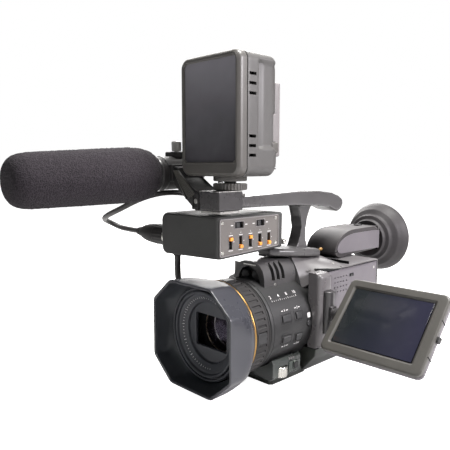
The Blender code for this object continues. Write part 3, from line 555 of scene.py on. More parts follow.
def dress(node, finish, edge=0.25):
    """Gives a CAD node its finish, and smooth shading with slightly rounded edges, by modifiers only."""
    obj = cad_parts[node]
    obj.data.materials.clear()
    obj.data.materials.append(FINISHES[finish])
    custom = obj.data.attributes.get("custom_normal")
    if custom:
        obj.data.attributes.remove(custom)
    obj.data.shade_smooth()
    weld = obj.modifiers.new("Weld", "WELD")
    weld.merge_threshold = 2e-6
    harden(obj, edge)


# How far printed characters stand out.
PRINT_RISE = 0.06


def label(name, text, height, place):
    """Raised generic characters; place maps a text's (across, up, out) to the row frame, in mm."""
    curve = bpy.data.curves.new(name, "FONT")
    curve.body = text
    curve.size = height
    curve.align_x = "CENTER"
    curve.align_y = "CENTER"
    curve.resolution_u = 3
    flat = put(name, curve)
    bpy.context.view_layer.update()
    mesh = bpy.data.meshes.new_from_object(flat)
    bpy.data.objects.remove(flat)
    bm = bmesh.new()
    bm.from_mesh(mesh)
    bpy.data.meshes.remove(mesh)
    for vert in bm.verts:
        vert.co = Vector(place(vert.co.x, vert.co.y, PRINT_RISE))
    return piece(name, bm, "print_white", normals=False, recalc=False)


def screw(name, centre, axis, radius, finish="steel"):
    """A small cross-head screw whose head looks along axis."""
    head = rod(radius, -0.6, 0.35, "Z", (0, 0, 0), 24, 0.25)
    matrix = towards(centre, axis)
    obj = piece(name, moved(head, matrix), finish)
    arm, thin = radius * 0.62, radius * 0.15
    cross = [block((-arm, -thin, 0.05), (arm, thin, 1)), block((-thin, -arm, 0.05), (thin, arm, 1))]
    return carve(obj, *(moved(bm, matrix) for bm in cross))


# ---------------------------------------------------------------- camera, light and floor

# How strongly the white world lights the object.
AMBIENT = 0.15


def seen_white(tree, socket, lit, seen):
    """Backdrop only: it looks white to the camera while it lights the object less."""
    path = tree.nodes.new("ShaderNodeLightPath")
    pick = tree.nodes.new("ShaderNodeMapRange")
    pick.inputs["To Min"].default_value = lit
    pick.inputs["To Max"].default_value = seen
    tree.links.new(path.outputs["Is Camera Ray"], pick.inputs["Value"])
    tree.links.new(pick.outputs["Result"], socket)


def camera_view():
    """The camera of the shown view."""
    camera = bpy.data.cameras.new("camera")
    camera.lens, camera.sensor_width = 42.45, 36.0
    camera.clip_start = 0.01
    view = put("camera", camera)
    view.location = (0.3170, -0.3951, 0.1876)
    looking_down, turned_left = math.radians(6.38), math.radians(46.1)
    view.rotation_euler = (TURN / 4 - looking_down, 0, turned_left)
    bpy.context.scene.camera = view


def surroundings():
    """An even white world, dimmer as a light than as a backdrop."""
    world = bpy.context.scene.world or bpy.data.worlds.new("world")
    bpy.context.scene.world = world
    world.use_nodes = True
    background = world.node_tree.nodes["Background"]
    background.inputs["Color"].default_value = (1.0, 1.0, 1.0, 1.0)
    seen_white(world.node_tree, background.inputs["Strength"], AMBIENT, 1.0)


# Name, place and size in metres, power in watts, tint.
LAMPS = [
    ("key", (1.05, 0.30, 0.60), 0.45, 21.0, (1.0, 0.96, 1.0)),
    ("top", (0.20, 0.10, 1.15), 0.5, 24.0, (1.0, 0.985, 0.96)),
    ("back", (-0.75, 0.75, 0.85), 0.9, 19.0, (1.0, 0.98, 0.97)),
    ("rim", (-1.05, 1.0, 0.40), 0.3, 1.5, (1.0, 0.98, 0.96)),
    ("front", (0.1, -1.3, 0.6), 0.35, 1.6, (0.95, 1.0, 1.0)),
]
LAMP_AIM = Vector((0.0, -0.03, 0.12))


def lighting():
    """Round area lights that all face the object's middle."""
    for name, place, size, power, tint in LAMPS:
        light = bpy.data.lights.new(name, "AREA")
        light.shape, light.size, light.energy, light.color = "DISK", size, power, tint
        lamp = put(name, light)
        lamp.location = place
        lamp.rotation_euler = (LAMP_AIM - Vector(place)).to_track_quat("-Z", "Y").to_euler()


def ground():
    """A wide pale disc just under the base."""
    bm = bmesh.new()
    bmesh.ops.create_circle(bm, cap_ends=True, segments=96, radius=9.0)
    mesh = bpy.data.meshes.new("floor")
    bm.to_mesh(mesh)
    bm.free()
    pale = Finish("floor")
    pale.set(Roughness=0.9, Specular_IOR_Level=0.1, Emission_Color=(1.0, 1.0, 1.0, 1.0))
    seen_white(pale.tree, pale.shader.inputs["Emission Strength"], 0.0, 1.0)
    pale.link(pale.mix(pale.noise(3.0, 2.0), (0.60, 0.60, 0.60), (0.63, 0.63, 0.63)), "Base Color")
    mesh.materials.append(pale.material)
    floor = put("floor", mesh)
    floor.location.z = -0.0002


def stage():
    """Camera, world, lamps and ground."""
    camera_view()
    surroundings()
    lighting()
    ground()
    bpy.context.scene.view_settings.view_transform = "Standard"


# ---------------------------------------------------------------- cords

PLUG_Y, PLUG_Z = -100.0, 124.6
MIC_CABLE_R, BOX_LEAD_R = 2.5, 2.8
MIC_CABLE_ROUTE = [
    (-60, -63, 182.4), (-60, -52, 182.2), (-60, -42, 177.5), (-60, -37.5, 168.5), (-60, -42, 160),
    (-60, -54, 155.5), (-60, -70, 158.5), (-61, -88, 163), (-65, -108, 163), (-75, -123, 158),
    (-95, -131, 148.5), (-118, -130, 141), (-133.5, -123.5, 136), (-140, -113, 131.5), (-136, -104, 126.4),
    (-124, -100.4, 124.8), (-111, -100, 124.6),
]
BOX_LEAD_ROUTE = [
    (-49, -101.5, 108.2), (-49.2, -101.5, 103), (-51, -100, 94.5), (-54.5, -96, 83), (-57, -88, 70),
    (-57, -76, 56), (-55, -62, 46), (-53, -52, 42.2), (-53, -47, 41.6), (-53, -43, 41.5),
]


def cable(name, points, radius, node):
    """A round cord along a route, and its length in metres."""
    route, length = smooth_route(points, 2.2 * radius)
    curve = bpy.data.curves.new(name, "CURVE")
    curve.dimensions = "3D"
    curve.bevel_depth = radius * MM
    curve.bevel_resolution = 6
    curve.use_fill_caps = True
    spline = curve.splines.new("POLY")
    spline.points.add(len(route) - 1)
    for point, place in zip(spline.points, route):
        point.co = (*(place * MM), 1.0)
    spline.use_smooth = True
    curve.materials.append(FINISHES["cord_black"])
    obj = put(name, curve)
    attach(obj, ROOT)
    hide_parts(node)
    return obj, length * MM


def cords():
    """The microphone's cable with its connector, and the audio box's lead with its plug."""
    obj, length = cable("mic_cable_tube", MIC_CABLE_ROUTE, MIC_CABLE_R, "mic_cable")
    plug()
    obj, length = cable("box_lead_tube", BOX_LEAD_ROUTE, BOX_LEAD_R, "box_lead")
    dress("lead_plug", "rubber_black")


def plug():
    """The round connector: a bright shell at the box, and a dark boot with grip ribs."""
    centre = (0, PLUG_Y, PLUG_Z)
    shell = [
        (0, -51.0), (8.5, -51.0), (8.5, -57.2), (9.5, -57.5), (9.7, -58.0), (9.7, -61.6), (9.4, -62.0),
        (0, -62.0),
    ]
    ring = piece("plug_shell", turned(shell, "X", centre, 64), "silver", stands_for=["xlr_plug"])
    boot = [
        (0, -61.6), (8.9, -61.6), (9.1, -62.2), (9.2, -64.4), (9.3, -65.2), (9.4, -76.8), (9.45, -77.6),
        (9.2, -78.6), (8.8, -79.2), (9.1, -79.8), (9.0, -84), (8.7, -88), (8.1, -92.6), (7.2, -96.6),
        (6.0, -100.4), (5.0, -103), (4.5, -104), (4.1, -104.6), (4.5, -105.4), (4.1, -106.6), (3.9, -107.4),
        (4.0, -108.2), (3.6, -110.2), (0, -110.5),
    ]
    grip = grooves(18, 0.28, -77, -65, 0.3)
    sleeve = piece("plug_boot", turned(boot, "X", centre, 108, grip), "rubber_black", sharp=30)
    return [ring, sleeve]


# ---------------------------------------------------------------- lens

HOOD_FRONT_Y, HOOD_REAR_Y = -130.0, -97.4
HOOD_HALF_W, HOOD_HALF_H = 47.8, 44.3
# The slanted sides: their distance from the axis and the direction they face.
HOOD_SLANT, SLANT_ACROSS, SLANT_UP = 50.0, 0.652, 0.758
# How sharp the corners are where straight sides meet.
CORNER_POWER = 60


def octagon_reach(angle, inset):
    """How far the hood's round-cornered octagon reaches at an angle, less an inset."""
    c, s = abs(math.cos(angle)), abs(math.sin(angle))
    sides = [(HOOD_HALF_W - inset) / max(c, 1e-6), (HOOD_HALF_H - inset) / max(s, 1e-6)]
    sides.append((HOOD_SLANT - inset) / (SLANT_ACROSS * c + SLANT_UP * s))
    return sum(side**-CORNER_POWER for side in sides) ** (-1 / CORNER_POWER)


def hood():
    """An octagon at the mouth whose flat sides run into a round rear shoulder."""
    def ring(y, inset, circle, blend_in):
        """One outline: the octagon less an inset, kept within a circle or blended into it."""
        points = []
        for i in range(288):
            angle = TURN * i / 288
            straight = octagon_reach(angle, inset)
            reach = straight * (1 - blend_in) + circle * blend_in
            if blend_in == 0 and circle:
                reach = (straight**-26 + circle**-26) ** (-1 / 26)
            points.append((reach * math.cos(angle), y, LENS_Z + reach * math.sin(angle)))
        return points

    # Y, inset of the octagon, radius of the circle, and how far the octagon gives way to it.
    outside = [
        (HOOD_FRONT_Y, 1.6, 0, 0), (HOOD_FRONT_Y, 0.7, 0, 0), (-129.8, 0.2, 0, 0), (-129.2, 0.0, 0, 0),
    ]
    outside += [(y, 0.03 * (y - HOOD_FRONT_Y), 80, 0) for y in (-126, -122, -118, -115)]
    shoulder = [
        (-112.5, 55.5), (-110, 53.4), (-107.5, 51.3), (-105, 49.2), (-102.6, 47.0), (-100.4, 44.8),
        (-98.8, 43.3),
    ]
    outside += [(y, 0.5 + 0.02 * (y + 115), radius, 0) for y, radius in shoulder]
    outside += [(-97.8, 0, 42.5, 1), (HOOD_REAR_Y, 0, 42.2, 1)]
    inside = [
        (HOOD_REAR_Y, 0, 40.6, 1), (-110.6, 0, 40.4, 1), (-111.2, 0, 40.6, 1), (-112.6, 5.2, 41.4, 0.62),
    ]
    inside += [
        (-115, 4.6, 42, 0.34), (-118, 4.0, 42, 0.12), (-121, 3.5, 42, 0.03), (-126, 2.8, 0, 0),
        (-129.4, 2.3, 0, 0),
    ]
    skin = loft([ring(*row) for row in outside], caps=False)
    lining = loft([ring(*row) for row in inside + [(HOOD_FRONT_Y, 1.6, 0, 0)]], caps=False)
    back = loft([ring(HOOD_REAR_Y, 0, 42.2, 1), ring(HOOD_REAR_Y, 0, 40.6, 1)], caps=False)
    whole = merged(skin, lining, back)
    bmesh.ops.remove_doubles(whole, verts=whole.verts, dist=0.001)
    obj = piece("hood_shell", whole, "hood_black", stands_for=["lens_hood"], sharp=26)
    obj.data.materials.append(FINISHES["hood_inside"])
    lip_y = HOOD_FRONT_Y + 0.4
    for face in obj.data.polygons:
        middle = face.center / MM
        radial = Vector((middle.x, 0, middle.z - LENS_Z))
        if face.normal.dot(radial) < 0 and middle.y > lip_y:
            face.material_index = 1


def rectangle_reach(angle, half_w, half_h):
    """How far a rectangle reaches at an angle."""
    c, s = abs(math.cos(angle)), abs(math.sin(angle))
    sides = (half_w / max(c, 1e-6), half_h / max(s, 1e-6))
    return sum(side**-CORNER_POWER for side in sides) ** (-1 / CORNER_POWER)


def mask():
    """Stepped rings down to the aperture plate, whose opening is a rectangle."""
    def around(y, reach):
        """An outline at y whose reach depends on the angle."""
        angles = [TURN * i / 192 for i in range(192)]
        return [(reach(a) * math.cos(a), y, LENS_Z + reach(a) * math.sin(a)) for a in angles]

    def circle(radius, y):
        return around(y, lambda angle: radius)

    def opening(y, grow):
        half_w, half_h = 18.6 + grow, 13.9 + grow
        return around(y, lambda angle: rectangle_reach(angle, half_w, half_h))

    steps = [
        (37.6, -96.0), (39.6, -96.0), (39.7, -112.0), (39.5, -113.8), (38.9, -115.0), (38.0, -115.4),
        (37.3, -115.1), (37.0, -113.0), (36.3, -112.8), (35.9, -114.9), (35.3, -115.5), (34.2, -115.6),
        (33.5, -115.1), (33.1, -113.2), (32.5, -112.8), (31.9, -112.7), (31.3, -112.4), (26.2, -109.4),
        (25.9, -109.2), (25.6, -108.4), (25.4, -107.0), (24.9, -106.6), (24.2, -106.5),
    ]
    skins = [circle(*step) for step in steps]
    skins += [opening(y, grow) for y, grow in ((-106.5, 0.5), (-106.3, 0.15), (-105.6, 0.0), (-104.0, 0.0))]
    skins += [circle(26, -104.0), circle(37.6, -104.0)]
    piece("mask_rings", loft(skins, closed=True), "mask_grey", stands_for=["lens_mask"], sharp=30)
    mask_scale()


def mask_scale():
    """Printed ticks round the sloping face of the mask."""
    ticks = []
    slope = Matrix.Rotation(math.radians(-30.5), 4, "Z")
    for i in range(40):
        angle = math.radians(-112 + 5.4 * i) + TURN / 2
        length = 2.0 if i % 5 == 0 else 1.1
        turn = Matrix.Rotation(-angle, 4, "Y")
        place = Matrix.Translation(LENS_CENTRE) @ turn @ Matrix.Translation((29.6, -111.35, 0))
        mark = moved(block((-length / 2, -0.12, -0.16), (length / 2, 0.0, 0.16)), slope)
        ticks.append(moved(mark, place))
    piece("mask_scale", merged(*ticks), "print_white", normals=False)


def lens_inside():
    """What shows through the aperture: the glass, its bright retaining ring and the dark stepped tube."""
    tube = [
        (24.6, -95.4), (19.0, -94.0), (18.6, -92.4), (18.2, -88), (16.8, -86.6), (16.0, -83.8), (15.6, -80),
        (13.4, -78.4),
    ]
    tube += [(12.6, -75), (9.5, -73.6), (9.0, -70), (0, -69.4), (0, -68), (26.4, -76.4), (26.6, -95.0)]
    # Its near-black is the tube's own black deepened by painted shade.
    piece("lens_tube", turned(tube, "Y", LENS_CENTRE, 96), "seam_black_and_painted_shade", sharp=20)
    for i, (radius, y, width) in enumerate(((18.3, -94.6, 0.9), (16.2, -86.9, 0.35), (13.1, -78.8, 0.4))):
        ring = [(radius, y), (radius + width, y - 0.25), (radius + width + 0.2, y + 0.5), (radius, y + 0.6)]
        piece(f"retaining_ring_{i + 1}", turned(ring, "Y", LENS_CENTRE, 128), "bronze" if i == 0 else "steel")
    dome = [
        (0, -99.4), (4, -99.3), (8, -98.8), (12, -97.9), (15, -96.8), (17.6, -95.4), (18.2, -94.9),
        (18.2, -94.2), (10, -93.6), (0, -93.4),
    ]
    bm = turned(dome, "Y", LENS_CENTRE, 96)
    piece("front_glass", bm, "glass", stands_for=["front_lens"], normals=False)
    # Its finish paints a reflection, lighter and purpler towards +X and darker towards -X.
    inner = [(0, -83.6), (5, -83.2), (10, -82.0), (15.2, -80.2), (15.2, -79.6), (0, -79.6)]
    piece("inner_glass", turned(inner, "Y", LENS_CENTRE, 64), "eye_glass", normals=False)


def rings():
    """The bright band and the ribbed grip of the focus ring."""
    gold = [
        (40.4, -97.0), (41.9, -97.0), (42.2, -96.7), (42.3, -96.2), (42.2, -95.7), (41.8, -95.3),
        (40.4, -95.1),
    ]
    piece("gold_band", turned(gold, "Y", LENS_CENTRE, 192), "gold", stands_for=["gold_ring"])

    def pads(radius, height, angle):
        slot = (angle / TURN * 48) % 1.0 > 0.5
        inside = -92.3 < height < -82.4
        return radius - (0.85 if slot and inside else 0.0)

    grip = [
        (36.6, -94.3), (40.4, -94.3), (40.9, -94.2), (41.3, -93.7), (41.4, -92.4), (41.4, -92.2),
        (41.5, -82.5), (41.4, -82.3), (41.4, -80.2), (41.0, -79.8), (41.0, -79.4), (41.4, -79.0),
        (41.3, -78.4), (40.9, -78.0), (36.6, -78.0),
    ]
    bm = turned(grip, "Y", LENS_CENTRE, 384, pads)
    piece("focus_grip", bm, "rubber_black", "focus_ring", ["focus_ring"], sharp=30)
    marks = []
    for i in range(4):
        angle = math.radians(90 + 90 * i)
        turn = Matrix.Translation(LENS_CENTRE) @ Matrix.Rotation(-angle, 4, "Y")
        marks.append(moved(block((40.9, -93.2, -4.4), (41.75, -83.2, 4.4), 0.3), turn))
    piece("focus_grip_pads", merged(*marks), "button_black", "focus_ring")


def on_barrel(y, degrees):
    """A frame on the barrel: its X points out, its Y runs along the lens."""
    turn = Matrix.Rotation(-math.radians(degrees), 4, "Y")
    return Matrix.Translation((0, y, LENS_Z)) @ turn @ Matrix.Translation((BARREL_R, 0, 0))


def barrel_place(y, degrees):
    """Maps a text's (across, up, out) onto the barrel's skin round a point."""
    def place(across, up, out):
        angle = math.radians(degrees) + up / BARREL_R
        reach = BARREL_R + out
        return (reach * math.cos(angle), y + across, LENS_Z + reach * math.sin(angle))
    return place


def barrel_room(low, high):
    """A cutter that leaves the barrel free between two places along it."""
    return rod(BARREL_R + 0.3, low, high, "Y", LENS_CENTRE, 128)


# Name, y, angle in degrees, length and height of each button on the barrel.
BARREL_BUTTONS = [
    ("user_button_1", -56.0, 14.0, 10.4, 6.2), ("user_button_2", -39.4, 13.6, 7.6, 6.2),
    ("user_button_3", -56.0, -11.4, 10.4, 6.2), ("user_button_4", -39.4, -13.6, 7.6, 6.2),
]
# Y, angle and half the gap between its dashes of each number beside a button.
BUTTON_NUMBERS = [(-56.0, 23.5, 3.1), (-39.4, 23.2, 2.6), (-56.0, -21.0, 3.1), (-39.4, -23.2, 2.6)]


def barrel():
    """The lens barrel with its buttons and print."""
    barrel_shell()
    button_rims()
    for name, *_ in BARREL_BUTTONS:
        dress(name, "button_black", 0.3)
    dress("display_button", "button_black", 0.2)
    button_print()
    zoom_scale()


def barrel_shell():
    """The tube with a well for each button."""
    skin = [
        (36.0, -95.2), (36.0, -77.6), (39.0, -77.6), (39.2, -77.2), (39.2, -75.8), (39.5, -75.5),
        (40.0, -75.2), (BARREL_R, -74.8), (BARREL_R, -72.6), (40.0, -72.4), (40.0, -71.9), (BARREL_R, -71.7),
        (BARREL_R, -6.4), (30.0, -6.4), (30.0, -70.0), (27.0, -76.0), (27.0, -95.2),
    ]
    bm = turned(skin, "Y", LENS_CENTRE, 240)
    obj = piece("barrel_shell", bm, "barrel_black", stands_for=["lens_barrel"])
    wells = []
    for _, y, degrees, length, height in BARREL_BUTTONS:
        a, b = length / 2 + 0.35, height / 2 + 0.35
        wells.append(moved(block((-4.6, -a, -b), (4, a, b), 1.0, 3, "X"), on_barrel(y, degrees)))
    wells.append(moved(rod(3.0, -4.4, 3, "X", (0, 0, 0), 40), on_barrel(-26.6, 0)))
    carve(obj, *wells)


def button_rims():
    """A raised frame round each numbered button."""
    gap, width = 1.5, 0.55
    rims = []
    for _, y, degrees, length, height in BARREL_BUTTONS:
        a, b = length / 2 + gap, height / 2 + gap
        outer = rounded(-a - width, -b - width, a + width, b + width, 2.2)
        inner = rounded(-a, -b, a, b, 1.7)
        rims.append(tube_skin(outer, inner, -0.3, 0.25, barrel_place(y, degrees)))
    piece("button_rims", merged(*rims), "barrel_black", sharp=50)


def barrel_print(place, shape, rise):
    """A thin printed shape on the barrel."""
    return loft([[place(across, up, out) for across, up in shape] for out in (-0.1, rise)])


def button_print():
    """A number between two dashes beside each button, and a square sign."""
    for i, (y, degrees, _) in enumerate(BUTTON_NUMBERS):
        label(f"button_number_{i + 1}", str(i + 1), 3.2, barrel_place(y, degrees))
    dashes = []
    shape = ((-1.1, -0.28), (1.1, -0.28), (1.1, 0.28), (-1.1, 0.28))
    for y, degrees, width in BUTTON_NUMBERS:
        for side in (-1, 1):
            dashes.append(barrel_print(barrel_place(y + side * width, degrees), shape, 0.06))
    piece("button_dashes", merged(*dashes), "print_white", normals=False)
    square = barrel_print(barrel_place(-25.6, 10.0), rounded(-2.1, -2.1, 2.1, 2.1, 0.5), 0.08)
    piece("button_sign", square, "print_white", normals=False)


def zoom_scale():
    """A plain scale of dots and numbers above the buttons."""
    first_y, step = -66.0, 2.6
    marks = []
    for i in range(13):
        tall = 1.5 if i % 4 == 0 else 0.8
        shape = ((-0.16, 0), (0.16, 0), (0.16, tall), (-0.16, tall))
        marks.append(barrel_print(barrel_place(first_y + step * i, 37.0), shape, 0.07))
    piece("scale_marks", merged(*marks), "print_white", normals=False)
    for i, text in enumerate(("2", "4", "8", "16")):
        label(f"scale_number_{i + 1}", text, 4.2, barrel_place(first_y + 10.4 * i, 43.0))


# ---------------------------------------------------------------- body

def about_upper(half):
    """A half outline of (x from the upper centre line, z), from the bottom up, made whole."""
    return [(UPPER_X + x, z) for x, z in half] + [(UPPER_X - x, z) for x, z in reversed(half)]


def arch_outline(half_w, low, top, steps=14, power=2.6, shoulder=20):
    """A round-shouldered arch; a higher power squares its shoulders."""
    points = [(half_w, low)]
    for i in range(steps + 1):
        angle = TURN / 4 * i / steps
        c, s = math.cos(angle) ** (2 / power), math.sin(angle) ** (2 / power)
        points.append((half_w * c if i < steps else 0.6, top - shoulder + shoulder * s))
    return about_upper(points)


def mic_housing():
    """The stereo microphones' cover over the barrel: a hollow mouth in front and three slots each side."""
    bm = prism(arch_outline(18.4, 79, 105.3), "Y", -64.0, -20.6, 1.2, 3)
    obj = piece("mic_housing", bm, "handle_black", stands_for=["top_cover"])
    cutters = [barrel_room(-80, -5), prism(arch_outline(13.6, 70, 100.6, power=2.3), "Y", -70, -58.0)]
    for i in range(3):
        y = -54.4 + 6.6 * i
        ring = [(UPPER_X + x, z) for x, z in ((11.5, 88.5), (11.5, 99.0), (8.5, 108), (26, 108), (26, 88.5))]
        for side in (1, -1):
            outline = [(UPPER_X + side * (x - UPPER_X), z) for x, z in ring]
            cutters.append(prism(outline, "Y", y, y + 4.1))
    carve(obj, *cutters)
    # Painted shade: a near-black block inside the mouth and behind the slots.
    lining = about_upper([(12.0, 86), (12.0, 96), (8.6, 100.6), (3, 101.4)])
    piece("mic_painted_shade", prism(lining, "Y", -57.0, -30.0), "seam_black_and_painted_shade")
    capsules = [rod(4.6, -62.6, -57.6, "Y", (UPPER_X + 6.6 * side, 0, 92.6), 40, 0.6) for side in (1, -1)]
    piece("mic_capsules", merged(*capsules), "button_black", sharp=50)
    bar = block((UPPER_X - 6.5, -64.5, 101.6), (UPPER_X + 8.0, -63.7, 102.9), 0.3)
    piece("mic_mark", bar, "steel", sharp=60)
    screws = [
        ((UPPER_X + 18.5, -50.2, 85.0), (1, 0, 0.1)), ((29.5, -12.0, 93.2), (0.78, 0, 0.62)),
        ((36.5, 14.0, 97.6), (0.34, 0, 0.94)),
    ]
    for i, (place, axis) in enumerate(screws):
        screw(f"cover_screw_{i + 1}", place, axis, 1.25)


def rocker_recess():
    """A cutter for the zoom rocker's recess."""
    return block((-39.8, -7.8, 95.2), (-28.2, 19.8, 112))


def top_cover():
    """The spine behind the microphone housing, falling to the rear with soft shoulders."""
    spine_cover()
    spine_apron()
    dress("zoom_rocker", "button_black", 0.3)
    piece("cover_seam", block((-43.6, -5.8, 93.55), (45.6, 76.6, 94.15)), "seam_black_and_painted_shade", sharp=60)
    piece("spine_joint", block((UPPER_X + 15, 25.5, 96.5), (45.9, 26.1, 99.2)), "seam_black_and_painted_shade", sharp=60)


def spine_cover():
    """The rear part of the spine, wider on the grip's side."""
    low = 94.0
    half_w, grip_half_w = 43.2, 47.3
    rows = [(15.0, 101.6), (25.0, 100.6), (29.0, 98.0), (33.0, 96.6), (77.0, 96.2)]
    sections = []
    for y, top in rows:
        shoulder = max(low + 1.4, top - 2.0)
        half = [(43.0, low), (43.4, low + 1.3), (20, shoulder), (12, top)]
        section = [(UPPER_X + x, y, z) for x, z in half]
        for x, z in reversed(half):
            section.append((UPPER_X - x * (grip_half_w / half_w if x > 40 else 1), y, z))
        sections.append(section)
    bm = loft(sections)
    lengthwise = [e for e in bm.edges if abs(e.verts[0].co.y - e.verts[1].co.y) > 1.0]
    bevel(bm, lengthwise, 1.1, 4)
    carve(piece("spine_cover", bm, "spine_grey"), rocker_recess())


def spine_apron():
    """The front part, which flares from the narrow ridge down to the body's sides."""
    # Y, the foot's half width and height, the ridge's half width and height, and a slight swell.
    rows = [
        (-21.6, 25.0, 78.0, 12.8, 104.9, 0), (-13.0, 29.0, 82.6, 12.8, 104.0, 0.6),
        (-6.4, 32.2, 87.0, 12.8, 103.4, 0.9), (1.0, 36.6, 91.0, 12.6, 102.7, 0.9),
        (8.0, 40.6, 93.2, 12.4, 102.1, 0.5), (15.2, 43.2, 94.6, 12.0, 101.5, 0),
    ]
    sections = []
    for y, wide, foot, narrow, top, swell in rows:
        half = [(wide - 1.4, foot - 2.6), (wide, foot)]
        for i in range(1, 9):
            t = i / 9
            bulge = 1.6 * math.sin(math.pi * t)
            rise = (top - foot) * t + bulge * 0.6 + swell * 0.2
            half.append((wide + (narrow - wide) * t + bulge * 0.8, foot + rise))
        half.append((narrow, top))
        sections.append([(x, y, z) for x, z in about_upper(half)])
    carve(piece("spine_apron", loft(sections), "spine_grey", edge=0.5), barrel_room(-30, 0), rocker_recess())


# The CAD nodes of the body with their finish and edge rounding.
SHELLS = [
    ("left_shell", "shell_side", 0.35), ("right_shell", "charcoal", 0.35), ("rear_shell", "charcoal", 0.35),
    ("base_plate", "base_grey", 0.35), ("dial_pod", "pod_grey", 0.3), ("dial_button", "button_black", 0.25),
    ("record_button", "record_red", 0.3), ("prism_block", "glass", 0.2), ("main_board", "board_green", 0.1),
    ("grip_cover", "charcoal", 0.4),
]


def shells():
    """The body's shells with their screws, lines and pads."""
    for node, finish, edge in SHELLS:
        dress(node, finish, edge)
    for i, (y, z) in enumerate(((-14.5, 31.5), (70.0, 31.5), (70.0, 88.0))):
        screw(f"side_screw_{i + 1}", (46.05, y, z), (1, 0, 0), 1.3)
    side_details()
    base_details()


def side_details():
    """A raised line round the door behind the screen, and a small switch."""
    outer, inner = rounded(27.0, 31.0, 70.0, 66.0, 2.0), rounded(27.8, 31.8, 69.2, 65.2, 1.6)
    line = tube_skin(outer, inner, 45.6, 46.35, lambda y, z, x: (x, y, z))
    piece("door_line", line, "charcoal", sharp=60)
    # Painted shade: a near-black patch for the switch's slot.
    piece("side_switch_painted_shade", block((45.5, 27.4, 84.4), (46.25, 34.2, 87.4), 0.3), "seam_black_and_painted_shade", sharp=60)
    piece("side_switch", block((45.8, 28.4, 84.9), (46.9, 31.4, 86.9), 0.3), "button_black", sharp=60)


def base_details():
    """A near-black disc of painted shade for the tripod hole, two rubber pads and the base's seam."""
    piece("tripod_hole_painted_shade", rod(3.2, -0.15, 0.05, "Z", (3, 20, 0), 40), "seam_black_and_painted_shade", sharp=60)
    pads = [block((-24, y, -0.02), (23, y + 9, 0.35), 0.15) for y in (-56, 60)]
    piece("base_pads", merged(*pads), "rubber_black", sharp=60)
    piece("keel_seam", block((-43.3, -22.1, 25.55), (45.3, 76.9, 26.05)), "seam_black_and_painted_shade", sharp=60)


def dial_details():
    """The knurled iris wheel under the lens and the small controls beside it."""
    wheel = [
        (0, 8.3), (5.6, 8.3), (6.4, 8.6), (6.7, 9.2), (6.7, 9.6), (6.7, 16.3), (6.7, 16.7), (6.4, 17.2),
        (5.6, 17.5), (0, 17.5),
    ]
    bm = turned(wheel, "Z", (33.2, -57, 0), 160, grooves(40, 0.28, 9.4, 16.6))
    piece("iris_wheel", bm, "silver", "iris_dial", ["iris_dial"], sharp=50)
    ring = [(3.1, 37.2), (4.4, 37.2), (4.2, 38.0), (3.3, 38.0)]
    piece("dial_ring", turned(ring, "X", (0, -40.5, 15), 48), "dark_chrome", sharp=50)
    piece("dial_lever", block((36.9, -49.6, 10.6), (38.2, -45.2, 20.2), 0.5), "dark_chrome", sharp=60)
    nibs = [block((35.4, -49.8 + 2.6 * i, 21.6), (37.9, -48.3 + 2.6 * i, 23.4), 0.4) for i in range(3)]
    piece("dial_marks", merged(*nibs), "light_grey", sharp=60)


def rear_details():
    """The back: battery, covered sockets and the record button's ring."""
    dress("battery", "battery_grey", 0.5)
    lines = [block((-16, 105.1, z), (18, 105.9, z + 1.2), 0.4) for z in (30, 34, 38, 42, 46)]
    piece("battery_ribs", merged(*lines), "battery_grey", "battery", sharp=60)
    piece("battery_latch", block((-8, 104.9, 66), (10, 106.3, 72), 0.6), "button_black", "battery", sharp=60)
    ring = [(6.5, 80.2), (8.2, 80.2), (8.0, 81.2), (6.8, 81.2)]
    piece("record_ring", turned(ring, "Y", (-33, 0, 76), 64), "silver", sharp=50)
    flap = rounded(-40.5, 22.0, -28.0, 60.0, 2.4)
    piece("socket_cover", prism(flap, "Y", 80.2, 82.0, 0.5, 3), "rubber_black", sharp=50)
    flap = rounded(29.5, 22.0, 42.0, 86.0, 2.4)
    piece("socket_cover_2", prism(flap, "Y", 80.2, 81.8, 0.5, 3), "rubber_black", sharp=50)
    grips = [block((-37.5, 81.8, 26 + 3 * i), (-31.0, 82.3, 27.2 + 3 * i), 0.25) for i in range(3)]
    piece("socket_grips", merged(*grips), "rubber_black", sharp=60)
    for i, (x, z) in enumerate(((-40, 88.5), (27.5, 88.5), (-40, 12), (40, 12))):
        screw(f"rear_screw_{i + 1}", (x, 80.55, z), (0, 1, 0), 1.5)


# ---------------------------------------------------------------- grip and strap

STRAP_LOW, STRAP_HIGH = 38.2, 65.8
STRAP_X, STRAP_Y, STRAP_REACH, STRAP_HALF = -66.6, 29.5, 24.0, 44.0


def strap_line(gap, count=48):
    """The strap's bow seen from above, moved outwards by gap."""
    points = []
    for i in range(count + 1):
        angle = math.pi * i / count
        swell = max(0.0, math.sin(angle)) ** 0.6
        points.append((STRAP_X - gap - (STRAP_REACH - 0.2) * swell, STRAP_Y - STRAP_HALF * math.cos(angle)))
    return points


def strap():
    """Woven webbing from the grip's front to its rear, with stitched ends, over a padded hand rest."""
    sections = []
    for (xo, yo), (xi, yi) in zip(strap_line(1.8), strap_line(0.3)):
        middle = ((xo + xi) / 2, (yo + yi) / 2)
        low, high = STRAP_LOW + 0.5, STRAP_HIGH - 0.5
        sections.append([
            (xo, yo, low), (xo, yo, high), (*middle, STRAP_HIGH), (xi, yi, high), (xi, yi, low),
            (*middle, STRAP_LOW),
        ])
    piece("hand_strap_web", loft(sections), "webbing", "cassette_door", ["hand_strap"], sharp=60)
    strap_stitches()
    for i, y in enumerate((-14.6, 73.6)):
        loop = block((-70.2, y - 1.6, 35.5), (-66.2, y + 1.6, 68.5), 0.7)
        piece(f"strap_loop_{i + 1}", loop, "steel", "cassette_door", sharp=60)
    pad()


